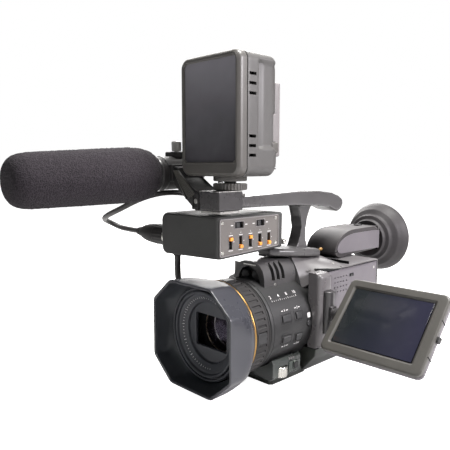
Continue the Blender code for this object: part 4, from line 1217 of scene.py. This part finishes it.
def strap_stitches():
    """Two rows of short threads near the webbing's edges."""
    stitches = []
    line = strap_line(1.95, 120)
    for row in (40.4, 63.6):
        for i in range(8, 112, 2):
            (xa, ya), (xb, yb) = line[i], line[i + 1]
            turn = math.atan2(yb - ya, xb - xa)
            length = math.hypot(xb - xa, yb - ya)
            bm = block((0, -0.12, -0.22), (length * 0.95, 0.12, 0.22))
            stitches.append(moved(bm, Matrix.Translation((xa, ya, row)) @ Matrix.Rotation(turn, 4, "Z")))
    piece("strap_stitches", merged(*stitches), "panel_grey", "cassette_door", normals=False)


def pad():
    """A crowned pad on the strap's inner side, pulled in along its sewn border."""
    bm = bmesh.new()
    wide, tall = 40, 22
    middle_z, half_tall = 52, 18.4
    base = strap_line(-0.35, wide + 16)[8:-8]
    grid = []
    for side in (0, 1):
        sheet = []
        for i in range(wide + 1):
            column = []
            x, y = base[i][0], STRAP_Y + (base[i][1] - STRAP_Y) * 0.93
            u = 2 * i / wide - 1
            for j in range(tall + 1):
                v = 2 * j / tall - 1
                crown = ((1 - u**6) * (1 - v**4)) ** 0.5
                seam = min(1.0, 6 * min(1 - abs(u), 1 - abs(v)) + 0.25)
                ripple = 0.25 * noise.noise(Vector((i * 0.33, j * 0.37, side * 7.0)))
                depth = 0.4 if side == 0 else 0.8 + (3.6 + ripple) * crown * seam
                column.append(bm.verts.new((x + depth, y, middle_z + v * half_tall * (1 - 0.03 * u * u))))
            sheet.append(column)
        grid.append(sheet)
    for sheet in grid:
        for i in range(wide):
            for j in range(tall):
                bm.faces.new((sheet[i][j], sheet[i + 1][j], sheet[i + 1][j + 1], sheet[i][j + 1]))
    rim = [(i, 0) for i in range(wide)] + [(wide, j) for j in range(tall)]
    rim += [(i, tall) for i in range(wide, 0, -1)] + [(0, j) for j in range(tall, 0, -1)]
    for (i, j), (k, m) in zip(rim, rim[1:] + rim[:1]):
        bm.faces.new((grid[0][i][j], grid[0][k][m], grid[1][k][m], grid[1][i][j]))
    obj = piece("strap_pad_cushion", bm, "webbing", "cassette_door", ["strap_pad"], sharp=70, normals=False)


# ---------------------------------------------------------------- handle

# The top of the spine's front end, and its fall per millimetre to the rear.
SPINE_Y, SPINE_Z, SPINE_FALL = -21.6, 105.4, 0.103


def handle():
    """The bar, post and foot melted into one casting, and the crisp accessory block in front."""
    handle_casting()
    accessory_shoe()
    pin = [(0, -4), (0.8, -4), (0.8, 2.4), (1.3, 2.6), (1.4, 3.0), (1.4, 5.6), (1.2, 6.0), (0, 6.1)]
    lean = Matrix.Translation((UPPER_X + 9, 24.0, 105.9)) @ Matrix.Rotation(math.radians(-84), 4, "X")
    piece("handle_pin", moved(turned(pin, "Z", (0, 0, 0), 32), lean), "gold", sharp=50)


def handle_foot():
    """The foot's flange, which follows the spine's fall to the rear."""
    outline = [
        (7, -45), (13, -38), (17, -22), (19, 0), (18, 15), (12, 23.5), (-12, 23.5), (-18, 15), (-19, 0),
        (-17, -22), (-13, -38), (-7, -45),
    ]
    sections = []
    for height, grow in ((0.5, -0.2), (5.4, 0.0), (7.4, -2.2)):
        section = []
        for x, y in outline:
            side = 1 if x > 0 else -1
            spine_z = SPINE_Z - (y - SPINE_Y) * SPINE_FALL
            reach_y = y + (grow * 0.6 if y > 0 else -grow)
            section.append((UPPER_X + side * (abs(x) + grow), reach_y, spine_z + height))
        sections.append(section)
    return loft(sections)


def handle_casting():
    """The three parts of the handle melted together with soft transitions."""
    bar = [
        (-90, 162.3), (-55, 163.1), (-10, 164.4), (20, 163.8), (43, 161.2), (55, 158.2), (61.4, 154.4),
        (62.3, 149.6), (59.4, 144.6), (54, 142.2), (47.4, 143.8), (38, 147.6), (26, 150.2), (-20, 151.8),
        (-60, 152.8), (-90, 152.8),
    ]
    post = [
        (-9, 157), (-2.0, 149), (0.7, 140), (1.2, 130), (0.2, 122), (-3.2, 114.5), (-10, 108), (13, 104),
        (9.4, 111), (8.0, 118), (7.7, 128), (8.6, 138), (12.6, 147), (22, 157),
    ]
    whole = merged(
        prism(bar, "X", UPPER_X - 11.8, UPPER_X + 11.8, 3.0, 3), handle_foot(),
        prism(post, "X", UPPER_X - 6.4, UPPER_X + 6.4, 2.2, 3),
    )
    obj = piece("handle_casting", whole, "handle_black", stands_for=["handle"], normals=False, sharp=180)
    melt = obj.modifiers.new("Melt", "REMESH")
    melt.mode, melt.voxel_size = "VOXEL", 0.75 * MM
    soften = obj.modifiers.new("Soften", "SMOOTH")
    soften.factor, soften.iterations = 0.5, 9
    bpy.context.view_layer.update()
    graph = bpy.context.evaluated_depsgraph_get()
    mesh = bpy.data.meshes.new_from_object(obj.evaluated_get(graph))
    obj.modifiers.clear()
    obj.data = mesh
    mesh.shade_smooth()
    thin = obj.modifiers.new("Thin", "DECIMATE")
    thin.ratio = 0.35


def accessory_shoe():
    """The block at the handle's front end, its slot for an accessory's foot and its steel rails."""
    x = UPPER_X
    block_mesh = block((x - 12, -110.8, 151.5), (x + 12, -84, 166.8), 1.0, 3)
    obj = piece("shoe_block", block_mesh, "charcoal")
    slot = block((x - 9.4, -103, 162.2), (x + 9.4, -77, 165.0))
    mouth = block((x - 6.4, -103, 164.0), (x + 6.4, -77, 170.0))
    carve(obj, slot, mouth)
    rails = [block((a - 2.2, -110.4, 166.5), (a + 2.2, -84.4, 167.3), 0.25) for a in (x - 9.6, x + 9.6)]
    piece("shoe_rails", merged(*rails), "steel", sharp=60)


# ---------------------------------------------------------------- eyepiece

EYE_Y, EYE_Z = 51.0, 110.0
CUP_CENTRE = (UPPER_X, 0, EYE_Z - 3)
# The roll under the nose: its radius and the angle where it starts; the length is that of the nose above it.
NOSE_R, NOSE_LENGTH, NOSE_CORNER = 13.4, 34.0, 218.0


def nose_outline(y, z, inset=0.0, steps=28):
    """The viewfinder's side outline, from its roof over the nose to its underside, drawn in by inset."""
    start = math.radians(NOSE_CORNER)
    radius = NOSE_R - inset
    corner_y, corner_z = y + radius * math.cos(start), z + radius * math.sin(start)
    points = []
    for i in range(steps + 1):
        angle = TURN / 4 * (1 + i / steps)
        rise = (z + 13.0 - inset - corner_z) * math.sin(angle)
        points.append((corner_y + NOSE_LENGTH * (1 + math.cos(angle)), corner_z + rise))
    for i in range(1, 9):
        angle = start + (TURN * 0.75 - start) * i / 8
        points.append((y + radius * math.cos(angle), z + radius * math.sin(angle)))
    return points


def eyepiece():
    """The viewfinder's housing with an inlaid panel on each side, its focus slider and its rubber cup."""
    x, z = UPPER_X, EYE_Z
    side = [(126, z - 12.4), (126, z + 12.2), (110, z + 13.0)] + nose_outline(EYE_Y, z)
    bm = prism(side, "X", x - 17.5, x + 17.5, 4.0, 6)
    piece("eyepiece_shell", bm, "eye_shell", "viewfinder", ["viewfinder_housing"], sharp=24)
    panel = [(122.5, z - 10.8), (122.5, z + 8.0), (110, z + 9.0)] + nose_outline(EYE_Y, z, 4.0)
    for name, low, high in (("left", x + 17.0, x + 18.1), ("right", x - 18.1, x - 17.0)):
        inlay = prism(panel, "X", low, high, 0.55, 3)
        piece(f"eyepiece_panel_{name}", inlay, "side_grey", "viewfinder", sharp=30)
    tube = [(10.8, 120), (13.0, 120), (13.0, 133.0), (10.8, 133.0)]
    piece("eyepiece_tube", turned(tube, "Y", CUP_CENTRE, 64), "charcoal", "viewfinder")
    groove = block((x - 17.65, 119.2, z - 12.0), (x + 17.65, 119.8, z + 12.6), 0.2)
    piece("eyepiece_groove", groove, "seam_black_and_painted_shade", "viewfinder")
    slider = []
    for i in range(6):
        y = 104 + 1.6 * i
        slider.append(block((x - 2.6, y, z + 13.0), (x + 2.6, y + 0.8, z + 14.3), 0.25))
    piece("eyepiece_focus", merged(*slider), "button_black", "viewfinder", sharp=60)
    eyecup()
    # Its finish paints a reflection, lighter towards +X.
    dress("eyepiece_lens", "eye_glass", 0.1)


def eyecup():
    """A stepped rubber cup that flares to the rear, slightly uneven towards its rim."""
    def soft(radius, height, angle):
        place = Vector((math.cos(angle) * 1.3, math.sin(angle) * 1.3, height * 0.06))
        return radius * (1 + 0.006 * noise.noise(place) * (radius > 24))

    profile = [
        (13.4, 127.5), (18.4, 126.5), (19.9, 126.8), (20.6, 128.0), (21.3, 129.4), (22.0, 130.0),
        (24.2, 130.6), (25.1, 131.3), (25.5, 132.6), (26.0, 134.2), (27.2, 135.4), (30.8, 138.0),
        (31.8, 138.9), (32.4, 140.2), (34.4, 143.0), (36.0, 145.6), (37.2, 148.2), (38.0, 150.3),
        (37.9, 151.0), (37.3, 151.4), (36.6, 151.2), (35.8, 149.4), (34.0, 145.8), (29.0, 140.4),
        (22.0, 135.6), (13.4, 133.6),
    ]
    bm = turned(profile, "Y", CUP_CENTRE, 144, soft)
    piece("eyecup_rubber", bm, "cup_rubber", "viewfinder", ["eyecup"], sharp=30, normals=False)


# ---------------------------------------------------------------- audio box

BOX_LOW, BOX_HIGH = (-56.5, -114.5, 113.2), (17.4, -35.5, 147.3)
PANEL_X = 17.2
SWITCH_Y = [-100.2 + 11.45 * i for i in range(5)]
INPUT_Y = (-90.6, -65.3)
LOWER_EDGE_RISE = 3.0


def box_shell():
    """A softly rounded case with a recess for the switch panel, lower at its far front corner."""
    (x0, y0, z0), (x1, y1, z1) = BOX_LOW, BOX_HIGH
    middle_x, middle_z = (x0 + x1) / 2, (z0 + z1) / 2
    # Distance from the front, then from the rear, and the size of the section there.
    front = [(0, 0.90), (0.15, 0.925), (0.6, 0.95), (1.3, 0.97), (2.4, 0.987), (3.6, 0.996), (5, 1)]
    rear = [(3, 1), (1.6, 0.99), (0.6, 0.975), (0, 0.95)]
    rows = [(y0 + inward, size) for inward, size in front] + [(y1 - inward, size) for inward, size in rear]
    sections = []
    for y, size in rows:
        t = (y - y0) / (y1 - y0)
        near = z0 + LOWER_EDGE_RISE * t
        far = near - 2.4 * (1 - t)
        section = corner(x1, z1, 1, 1, 2.2, 0) + corner(x0, z1, -1, 1, 7.0, 1)
        section += corner(x0, far, -1, -1, 6.5, 2) + corner(x1, near, 1, -1, 2.2, 3)
        grown = [(middle_x + (x - middle_x) * size, middle_z + (z - middle_z) * size) for x, z in section]
        sections.append(flat(grown, y))
    bm = loft(sections)
    obj = piece("audio_box_case", bm, "box_black", stands_for=["audio_box"])
    recess = [(y0 + 2, z0 + 2), (-42.0, z0 + 5), (-42.0, z1 - 2), (y0 + 2, z1 - 2)]
    socket = rod(9.0, x0 - 7, x0 + 6, "X", (0, PLUG_Y, PLUG_Z), 48)
    carve(obj, prism(recess, "X", 14.9, 20), socket)
    x, y, z = BOX_LEAD_ROUTE[0]
    gland = [(0, z), (3.2, z), (4.0, z + 1.0), (4.4, z + 2.2), (4.4, z + 6), (0, z + 6)]
    piece("box_gland", turned(gland, "Z", (x, y, 0), 48), "rubber_black")


def audio_box():
    """The box on the handle's side with its panel of switches."""
    box_shell()
    dress("audio_panel", "panel_grey", 0.2)
    for i in range(5):
        dress(f"channel_switch_{i + 1}", "orange", 0.2)
    for i in range(2):
        dress(f"input_switch_{i + 1}", "button_black", 0.2)
    switch_slots()
    panel_frame()
    panel_print()
    box_screw()
    piece("box_stub", block((8, -36.6, 118.2), (14.0, -31.8, 123.0), 0.8), "box_black")
    for i, (x, z) in enumerate(((-46, 119.4), (-46, 143.4))):
        screw(f"box_screw_rear_{i + 1}", (x, -35.5, z), (0, 1, 0), 1.5)
    piece("box_stand", block((-8.5, -109.6, 149.2), (14.6, -87.5, 151.3), 0.3), "steel", sharp=60)


def on_panel(y, z, x):
    """A point of an outline on the box's side."""
    return (x, y, z)


def slot_frame(y, z, half_y, half_z, x=PANEL_X):
    """A raised frame round a slot whose middle is at y and z."""
    grow = 0.55
    outer = rounded(y - half_y - grow, z - half_z - grow, y + half_y + grow, z + half_z + grow, 0.7, 4)
    inner = rounded(y - half_y, z - half_z, y + half_y, z + half_z, 0.3, 4)
    return tube_skin(outer, inner, x - 0.1, x + 0.3, on_panel)


def switch_slots():
    """The slots the switches slide in, dark with thin sheets of painted shade, each with its frame."""
    slots, frames = [], []
    for y in SWITCH_Y:
        slots.append(block((14.95, y - 2.6, 120.0), (15.05, y + 2.6, 131.4)))
        frames.append(slot_frame(y, 125.7, 1.9, 5.0, 16.9))
    for y in INPUT_Y:
        slots.append(block((14.95, y - 5.6, 136.6), (15.05, y + 5.6, 143.2)))
        frames.append(slot_frame(y, 139.9, 5.0, 2.7))
    piece("switch_slot_painted_shade", merged(*slots), "seam_black_and_painted_shade", normals=False)
    piece("switch_frames", merged(*frames), "light_grey", sharp=50)


def panel_frame():
    """The panel's border, whose lower edge rises to the rear, and a screw in each corner."""
    def tapered(outline):
        return [(y, z + LOWER_EDGE_RISE * (y + 112.0) / 70 * (z < 125)) for y, z in outline]

    outer = tapered(rounded(-112.6, 115.3, -41.7, 145.6, 2.0))
    inner = tapered(rounded(-111.9, 116.0, -42.4, 144.9, 1.4))
    piece("panel_frame", tube_skin(outer, inner, 17.0, 17.75, on_panel), "light_grey", sharp=50)
    for i, (y, z) in enumerate(((-109.4, 142.6), (-45.4, 142.6), (-109.4, 118.6), (-45.4, 121.0))):
        screw(f"panel_screw_{i + 1}", (PANEL_X, y, z), (1, 0, 0), 1.5, "silver")


def panel_print():
    """Plain dashes in place of words, and the channels' numbers."""
    def dash(y0, z0, y1, z1):
        return block((PANEL_X - 0.05, y0, z0), (PANEL_X + 0.07, y1, z1))

    dashes = []
    for y in SWITCH_Y:
        for z, width in ((131.6, 2.2), (119.4, 2.4)):
            dashes.append(dash(y - width, z, y + width, z + 0.55))
        dashes.append(dash(y + 3.0, 126.4, y + 4.0, 127.0))
    for y in INPUT_Y:
        for side in (-1, 1):
            dashes.append(dash(y + side * 8.2 - 1.3, 139.6, y + side * 8.2 + 1.3, 140.3))
    piece("panel_dashes", merged(*dashes), "print_white", normals=False)
    for i, middle in enumerate(SWITCH_Y):
        def place(across, up, out, y=middle):
            return (PANEL_X + out, y + across, 133.9 + up)
        label(f"channel_number_{i + 1}", str(i + 1), 1.9, place)


def box_screw():
    """A knurled thumb screw at the box's rear corner."""
    radius, length = 2.4, 3.6
    profile = [
        (0, -2), (1.4, -2), (1.4, 0), (radius - 0.3, 0), (radius, 0.5), (radius, length - 0.5),
        (radius - 0.5, length), (0, length),
    ]
    knurl = grooves(20, 0.3, 0.4, length - 0.3)
    bm = moved(turned(profile, "Z", (0, 0, 0), 80, knurl), towards((15.0, -34.0, 120.6), (1, 0, 0)))
    piece("box_screw", bm, "silver", sharp=50)


# ---------------------------------------------------------------- microphone

def mic_frame():
    """The microphone's own frame: its axis is Y, tipped two degrees."""
    middle = Matrix.Translation((-60.0, -100.0, 181.2))
    return middle @ Matrix.Rotation(math.radians(2.0), 4, "X") @ Matrix.Translation((0, 100.0, 0))


def windscreen():
    """A foam sleeve with a blunt nose, its skin slightly lumpy and pitted."""
    keys = [
        (0, -246.8), (6.0, -246.8), (11.0, -246.4), (14.2, -245.3), (16.8, -243.2), (18.7, -240.4),
        (20.0, -236.6), (20.6, -232), (21.0, -226), (22.3, -180), (23.2, -145), (22.5, -134.4),
        (20.4, -126.6), (17.2, -121.6), (13.4, -119.8), (10.9, -119.9),
    ]
    profile = []
    for (r0, y0), (r1, y1) in zip(keys, keys[1:]):
        count = max(1, round(math.hypot(r1 - r0, y1 - y0) / 1.1))
        profile += [(r0 + (r1 - r0) * k / count, y0 + (y1 - y0) * k / count) for k in range(count)]
    profile += [keys[-1], (10.9, -236), (0, -236)]

    def lumpy(radius, height, angle):
        if radius < 2 or (radius <= 11 and -237 < height < -121):
            return radius
        place = Vector((math.cos(angle) * radius, height, math.sin(angle) * radius))
        return radius + 0.30 * noise.noise(place * 0.55) + 0.28 * noise.noise(place * 1.7) - 0.1

    bm = moved(turned(profile, "Y", (0, 0, 0), 150, lumpy), mic_frame())
    obj = piece("foam_windscreen", bm, "foam_black", stands_for=["windscreen"], sharp=180, normals=False)


def microphone():
    """The microphone, its collar and the clamp that holds it."""
    windscreen()
    dress("mic_tube", "charcoal", 0.2)
    collar()
    clamp()
    clamp_thumb_screw()
    bracket()


def round_mic(profile):
    """A profile turned round the microphone's axis."""
    return moved(turned(profile, "Y", (0, 0, 0), 96), mic_frame())


def collar():
    """The rubber sleeve round the microphone, with the lip in front of it."""
    sleeve = [
        (10.7, -118.4), (12.6, -118.4), (13.9, -118.1), (14.5, -117.4), (14.6, -116.4), (14.6, -112.4),
        (14.2, -112.0), (14.2, -111.2), (14.6, -110.8), (14.6, -84.6), (14.2, -84.1), (10.7, -84.1),
    ]
    piece("mic_collar", round_mic(sleeve), "rubber_black", stands_for=["mic_clamp"])
    lip = [(13.2, -119.4), (15.0, -119.2), (15.3, -118.6), (15.3, -117.6), (14.4, -117.2), (13.2, -117.6)]
    piece("mic_collar_lip", round_mic(lip), "charcoal")


def clamp():
    """The lug on top with its slit, the hinge at the side, two bolts and two bands."""
    at = mic_frame()
    lug_mesh = moved(block((-8.5, -99, 12.5), (8.5, -84.6, 18.6), 1.2), at)
    lug = piece("clamp_lug", lug_mesh, "rubber_black")
    carve(lug, moved(rod(2.5, 10, 25, "Z", (0, -92, 0), 32), at))
    # Painted shade: a near-black sheet for the lug's slit.
    piece("clamp_slit_painted_shade", moved(block((-0.5, -98.0, 13.0), (0.5, -84.4, 18.75)), at), "seam_black_and_painted_shade")
    piece("clamp_side", moved(block((11.5, -112, -7), (17.5, -86, 8), 1.4), at), "rubber_black")
    screw("clamp_bolt", at @ Vector((17.5, -106, 2.0)), (1, 0, 0), 2.2)
    screw("clamp_bolt_front", at @ Vector((9.5, -118.3, 8.5)), (0, -1, 0), 1.6)
    for i, y in enumerate((-112.5, -88.0)):
        band = [(14.5, y), (15.1, y + 0.3), (15.1, y + 1.7), (14.5, y + 2.0)]
        piece(f"mic_band_{i + 1}", round_mic(band), "button_black")


def clamp_thumb_screw():
    """The tall knurled screw that closes the clamp."""
    profile = [
        (0, 13.4), (2.0, 13.4), (2.0, 19.0), (3.7, 19.0), (4.2, 19.4), (4.35, 20.2), (4.35, 26.6),
        (4.1, 27.4), (3.5, 27.9), (0, 27.9),
    ]
    bm = moved(turned(profile, "Z", (0, -92, 0), 120, grooves(24, 0.32, 19.8, 27.0, 0.1)), mic_frame())
    piece("clamp_thumb_screw", bm, "steel", "clamp_screw", ["clamp_screw"], sharp=50)


def bracket():
    """The rubber-ribbed arm from the handle's front to the microphone's collar."""
    arm = [
        (-42.0, 187), (-36, 186), (-32.8, 178), (-13, 167.2), (-9.6, 166), (-9.6, 152), (-14, 150.5),
        (-42.0, 171),
    ]
    piece("bracket_arm", prism(arm, "Y", -110.6, -88, 1.4, 3), "rubber_black", stands_for=["mic_bracket"])
    bracket_ribs()
    edge = [block((-41.8, -104.6 + 5.2 * i, 171.6), (-41.2, -102.4 + 5.2 * i, 186.0), 0.25) for i in range(3)]
    piece("bracket_edge_ribs", merged(*edge), "charcoal", sharp=50)
    foot = block((-17.6, -111.6, 151.8), (-9.4, -100, 165.4), 1.0)
    obj = piece("bracket_foot", foot, "rubber_black")
    carve(obj, block((-16.0, -114, 153.6), (-10.6, -110.4, 163.8)))
    screw("bracket_screw", (-13.3, -110.6, 158.6), (0, -1, 0), 2.1)


def bracket_ribs():
    """Six raised ribs that fan over the arm's front face."""
    ribs = []
    for i in range(6):
        t = i / 5
        top = Vector((-40.6 + 5.6 * t, 0, 183.6 - 0.4 * t))
        foot = Vector((-22.5 + 8.4 * t, 0, 160.0 + 4.4 * t)) if i else Vector((-24.0, 0, 160.0))
        along = (foot - top).normalized()
        across = Vector((-along.z, 0, along.x)) * 0.55
        corners = [top - across, foot - across, foot + across, top + across]
        ribs.append(prism([(c.x, c.z) for c in corners], "Y", -112.2, -110.2, 0.35, 2))
    piece("bracket_ribs", merged(*ribs), "bezel_grey", sharp=50)


# ---------------------------------------------------------------- lamp

LAMP_LOW, LAMP_HIGH = (-33.4, -110.0, 179.0), (35.6, -62.0, 274.6)
LAMP_SEAM_Y = -100.4


def lamp_outline(inset, radius, side=20):
    """The lamp's rounded outline seen from the front, drawn in by inset."""
    low, high = LAMP_LOW, LAMP_HIGH
    return rounded(low[0] + inset, low[2] + inset, high[0] - inset, high[2] - inset, radius, 10, side)


def lamp():
    """The lamp on the shoe: front frame, window, rear tray, battery and lock wheel."""
    lamp_front()
    dress("lamp_board", "board_green", 0.1)
    dress("lamp_foot", "lamp_front", 0.25)
    lamp_rear()
    dress("lamp_battery", "light_grey", 0.4)
    ribs = [block((-14 + 3.4 * i, -55.0, 199), (-12.6 + 3.4 * i, -54.3, 251), 0.2) for i in range(12)]
    piece("lamp_battery_ribs", merged(*ribs), "light_grey", "lamp_battery", sharp=60)
    lock_wheel()


def lamp_front():
    """The front frame, rounded outside and with a ridge round its window, and the pane."""
    front_y = LAMP_LOW[1]
    window = rounded(-28.4, 190.5, 31.2, 269.4, 3.5, 10, 20)
    ridge_out = rounded(-30.0, 188.9, 32.8, 271.2, 4.6, 10, 20)
    ridge_in = rounded(-29.2, 189.7, 32.0, 270.4, 4.0, 10, 20)
    # Inset and corner radius of the outline, and its place along Y.
    rows = [
        (1.0, 7.4, LAMP_SEAM_Y - 0.3), (0.35, 8, LAMP_SEAM_Y - 0.5), (0.0, 8, LAMP_SEAM_Y - 1.0),
        (0.0, 8, front_y + 4.6), (0.25, 8, front_y + 3.0), (0.8, 7.8, front_y + 1.7),
        (1.8, 7.2, front_y + 0.7), (2.3, 6.6, front_y + 0.2), (2.8, 6, front_y + 0.05),
    ]
    sections = [flat(lamp_outline(inset, radius), y) for inset, radius, y in rows]
    sections += [flat(ridge_out, front_y + 0.35), flat(ridge_out, front_y), flat(ridge_in, front_y)]
    sections += [
        flat(window, front_y + 1.0), flat(window, front_y + 8.4), flat(lamp_outline(6.5, 4), front_y + 8.4),
    ]
    bm = loft(sections, closed=True)
    piece("lamp_front_frame", bm, "lamp_front", stands_for=["lamp_front_shell"], sharp=28)
    # The pane's finish paints a reflection, lighter towards the top.
    glass = prism(rounded(-28.9, 190.0, 31.7, 269.9, 3.9, 10), "Y", front_y + 1.6, front_y + 3.6, 0.2)
    piece("lamp_pane", glass, "lamp_window", stands_for=["lamp_window"], sharp=40)


def lock_wheel():
    """The knurled wheel that locks the lamp's foot in the shoe."""
    wheel = [
        (5.3, 167.6), (12.6, 167.6), (13.6, 167.8), (14.1, 168.3), (14.2, 168.8), (14.2, 172.2),
        (14.1, 172.7), (13.6, 173.2), (12.6, 173.4), (5.3, 173.4),
    ]
    bm = turned(wheel, "Z", (UPPER_X, -87.0, 0), 192, grooves(32, 0.55, 168.0, 173.0, 0.1, 13))
    piece("lock_wheel_knurled", bm, "lamp_front", "lock_wheel", ["lock_wheel"], sharp=40)


def smooth(t):
    """A soft step from 0 to 1."""
    t = min(1.0, max(0.0, t))
    return t * t * (3 - 2 * t)


def lamp_tray():
    """The tray's skin, with a panel stepped in on each side."""
    rear_y = LAMP_HIGH[1]
    middle = (LAMP_LOW[0] + LAMP_HIGH[0]) / 2
    panel_y, panel_low, panel_high = -88.2, 200.5, 268.6
    # Y, then inset and corner radius of the outline.
    rows = [(LAMP_SEAM_Y, 1.0, 7.4), (LAMP_SEAM_Y + 0.2, 0.35, 8), (LAMP_SEAM_Y + 0.7, 0.0, 8)]
    rows += [(-96 + 1.0 * i, 0.0, 8) for i in range(25)]
    rows += [(-71 + 0.9 * i, 0.06 * i * i, 8) for i in range(1, 8)]
    rows += [(-64 + 0.5 * i, 3.0 + 0.42 * i * i, 8) for i in range(1, 5)]
    sections = []
    for y, inset, radius in rows:
        section = []
        for x, z in lamp_outline(inset, radius, 60):
            deep = smooth((y - panel_y) / 0.9)
            deep *= smooth((z - panel_low) / 2.4) * smooth((panel_high - z) / 2.4)
            if abs(x - middle) > 24:
                step = 3.6 - 1.7 * smooth((y - panel_y - 1.0) / 7.0)
                x -= math.copysign(step * deep, x - middle)
            section.append((x, y, z))
        sections.append(section)
    for y, inset in ((rear_y - 3, 14), (rear_y - 9, 12), (rear_y - 9, 5), (LAMP_SEAM_Y, 3.5)):
        sections.append(flat(lamp_outline(inset, 5, 60), y))
    return loft(sections, closed=True)


def lamp_rear():
    """The tray behind the seam with its vents, and teeth along the low rear edge."""
    seam, rear_y = LAMP_SEAM_Y, LAMP_HIGH[1]
    bm = lamp_tray()
    obj = piece("lamp_rear_tray", bm, "lamp_grey", stands_for=["lamp_rear_shell"])
    cutters = []
    for z in (195.6, 202.9, 210.2, 242.4, 249.9, 257.1):
        for low_x, high_x in ((31, 40), (-40, -29)):
            cutters.append(block((low_x, seam + 1.6, z - 1.2), (high_x, seam + 9.4, z + 1.2)))
    battery_notch = block((22.7, -68.4, 206.7), (40, -50, 229.7))
    carve(obj, *cutters, battery_notch)
    back = prism(rounded(-22, 190, 23, 262, 5, 10), "Y", rear_y - 6.0, rear_y - 2.0, 0.6)
    piece("lamp_back_plate", back, "lamp_front", sharp=50)
    # Painted shade: near-black sheets behind the vents.
    lining = [block((x, seam + 1.0, 186), (x + 0.8, seam + 11, 266)) for x in (30.2, -28.6)]
    piece("lamp_vent_painted_shade", merged(*lining), "seam_black_and_painted_shade", normals=False)
    piece("lamp_seam", prism(lamp_outline(0.7, 7.4), "Y", seam - 0.8, seam + 0.5), "seam_black_and_painted_shade", sharp=60)
    teeth = []
    for i in range(7):
        z = 184.6 + 2.1 * i
        teeth.append(block((26.0 - 0.2 * i, -68.4, z), (31.6 - 0.2 * i, -62.6, z + 1.1), 0.3))
    piece("lamp_teeth", merged(*teeth), "lamp_grey", sharp=60)
    piece("lamp_latch", block((26.0, -71.0, 197.5), (34.4, -62.4, 206.5), 1.6), "lamp_front", sharp=50)


# ---------------------------------------------------------------- screen

PANEL_CENTRE = (103.7, -14.6, 61.7)
PANEL_TILT = math.radians(-43.8)
SCREEN_HALF_W, SCREEN_HALF_H = 71.1 / 2, 53.3 / 2


def screen():
    """The flip-out screen: bezel, cover, seam, latch and edge lines, drawn upright and then tilted."""
    at = Matrix.Translation(PANEL_CENTRE) @ Matrix.Rotation(PANEL_TILT, 4, "X")

    def ring(outline, y):
        return [at @ Vector((x, y, z)) for x, z in outline]

    def rim(inset, radius):
        return rounded(-43.0 + inset, -36.0 + inset, 46.0 - inset, 35.6 - inset, radius, 10)

    def opening(grow, radius):
        w, h = SCREEN_HALF_W + grow, SCREEN_HALF_H + grow
        return rounded(-w, -h, w, h, radius, 10)

    # Inset or growth, corner radius, and the depth behind the bezel's plane.
    edge = [
        (0.5, 5.2, 3.4), (0.0, 5.5, 2.9), (0.0, 5.5, 0.5), (0.3, 5.4, -0.2), (0.9, 5.0, -0.65),
        (1.7, 4.6, -0.8),
    ]
    hole = [(2.4, 2.0, -0.8), (2.0, 1.8, -0.75), (0.1, 0.6, 1.0), (-0.1, 0.5, 1.4), (-0.1, 0.5, 3.4)]
    sections = [ring(rim(inset, radius), y) for inset, radius, y in edge]
    sections += [ring(opening(grow, radius), y) for grow, radius, y in hole]
    piece("screen_bezel", loft(sections, closed=True), "bezel_grey", "lcd_panel", ["lcd_bezel"], sharp=28)
    # The screen's finish paints a reflection, lighter and bluer towards +X.
    dress("lcd_glass", "screen", 0.15)
    back = [
        (0.6, 5.2, 3.7), (0.0, 5.5, 4.3), (0.0, 5.5, 6.4), (0.35, 5.4, 7.2), (1.0, 5.0, 7.9),
        (2.0, 4.6, 8.3), (3.2, 4.2, 8.4), (6.0, 3.6, 8.4), (6.4, 3.4, 8.1), (6.9, 3.2, 8.1), (7.3, 3.0, 8.4),
        (12, 2, 8.4),
    ]
    cover = loft([ring(rim(inset, radius), y) for inset, radius, y in back])
    piece("screen_cover", cover, "side_grey", "lcd_panel", ["lcd_cover"], sharp=28)
    seam = loft([ring(rim(0.5, 5), y) for y in (3.2, 3.9)])
    piece("screen_seam", seam, "seam_black_and_painted_shade", "lcd_panel", sharp=60)
    latch = moved(block((45.0, 1.6, -4.2), (48.3, 6.0, 0.4), 0.8), at)
    piece("screen_latch", latch, "button_black", "lcd_panel", sharp=50)
    ribs = [moved(block((47.0, 2.2, z), (48.6, 5.4, z + 0.6)), at) for z in (-3.2, -1.9, -0.6)]
    piece("screen_latch_ribs", merged(*ribs), "charcoal", "lcd_panel", sharp=60)
    lines = [moved(block((45.6, -0.4, z - 0.4), (46.12, 7.0, z + 0.4)), at) for z in (12.8, -19.0)]
    piece("screen_edge_lines", merged(*lines), "seam_black_and_painted_shade", "lcd_panel", sharp=60)
    dress("lcd_hinge_block", "charcoal", 0.25)


# ---------------------------------------------------------------- all of it

make_finishes()
stage()
cords()
hood()
mask()
lens_inside()
rings()
barrel()
mic_housing()
top_cover()
shells()
dial_details()
rear_details()
strap()
handle()
eyepiece()
audio_box()
microphone()
lamp()
screen()
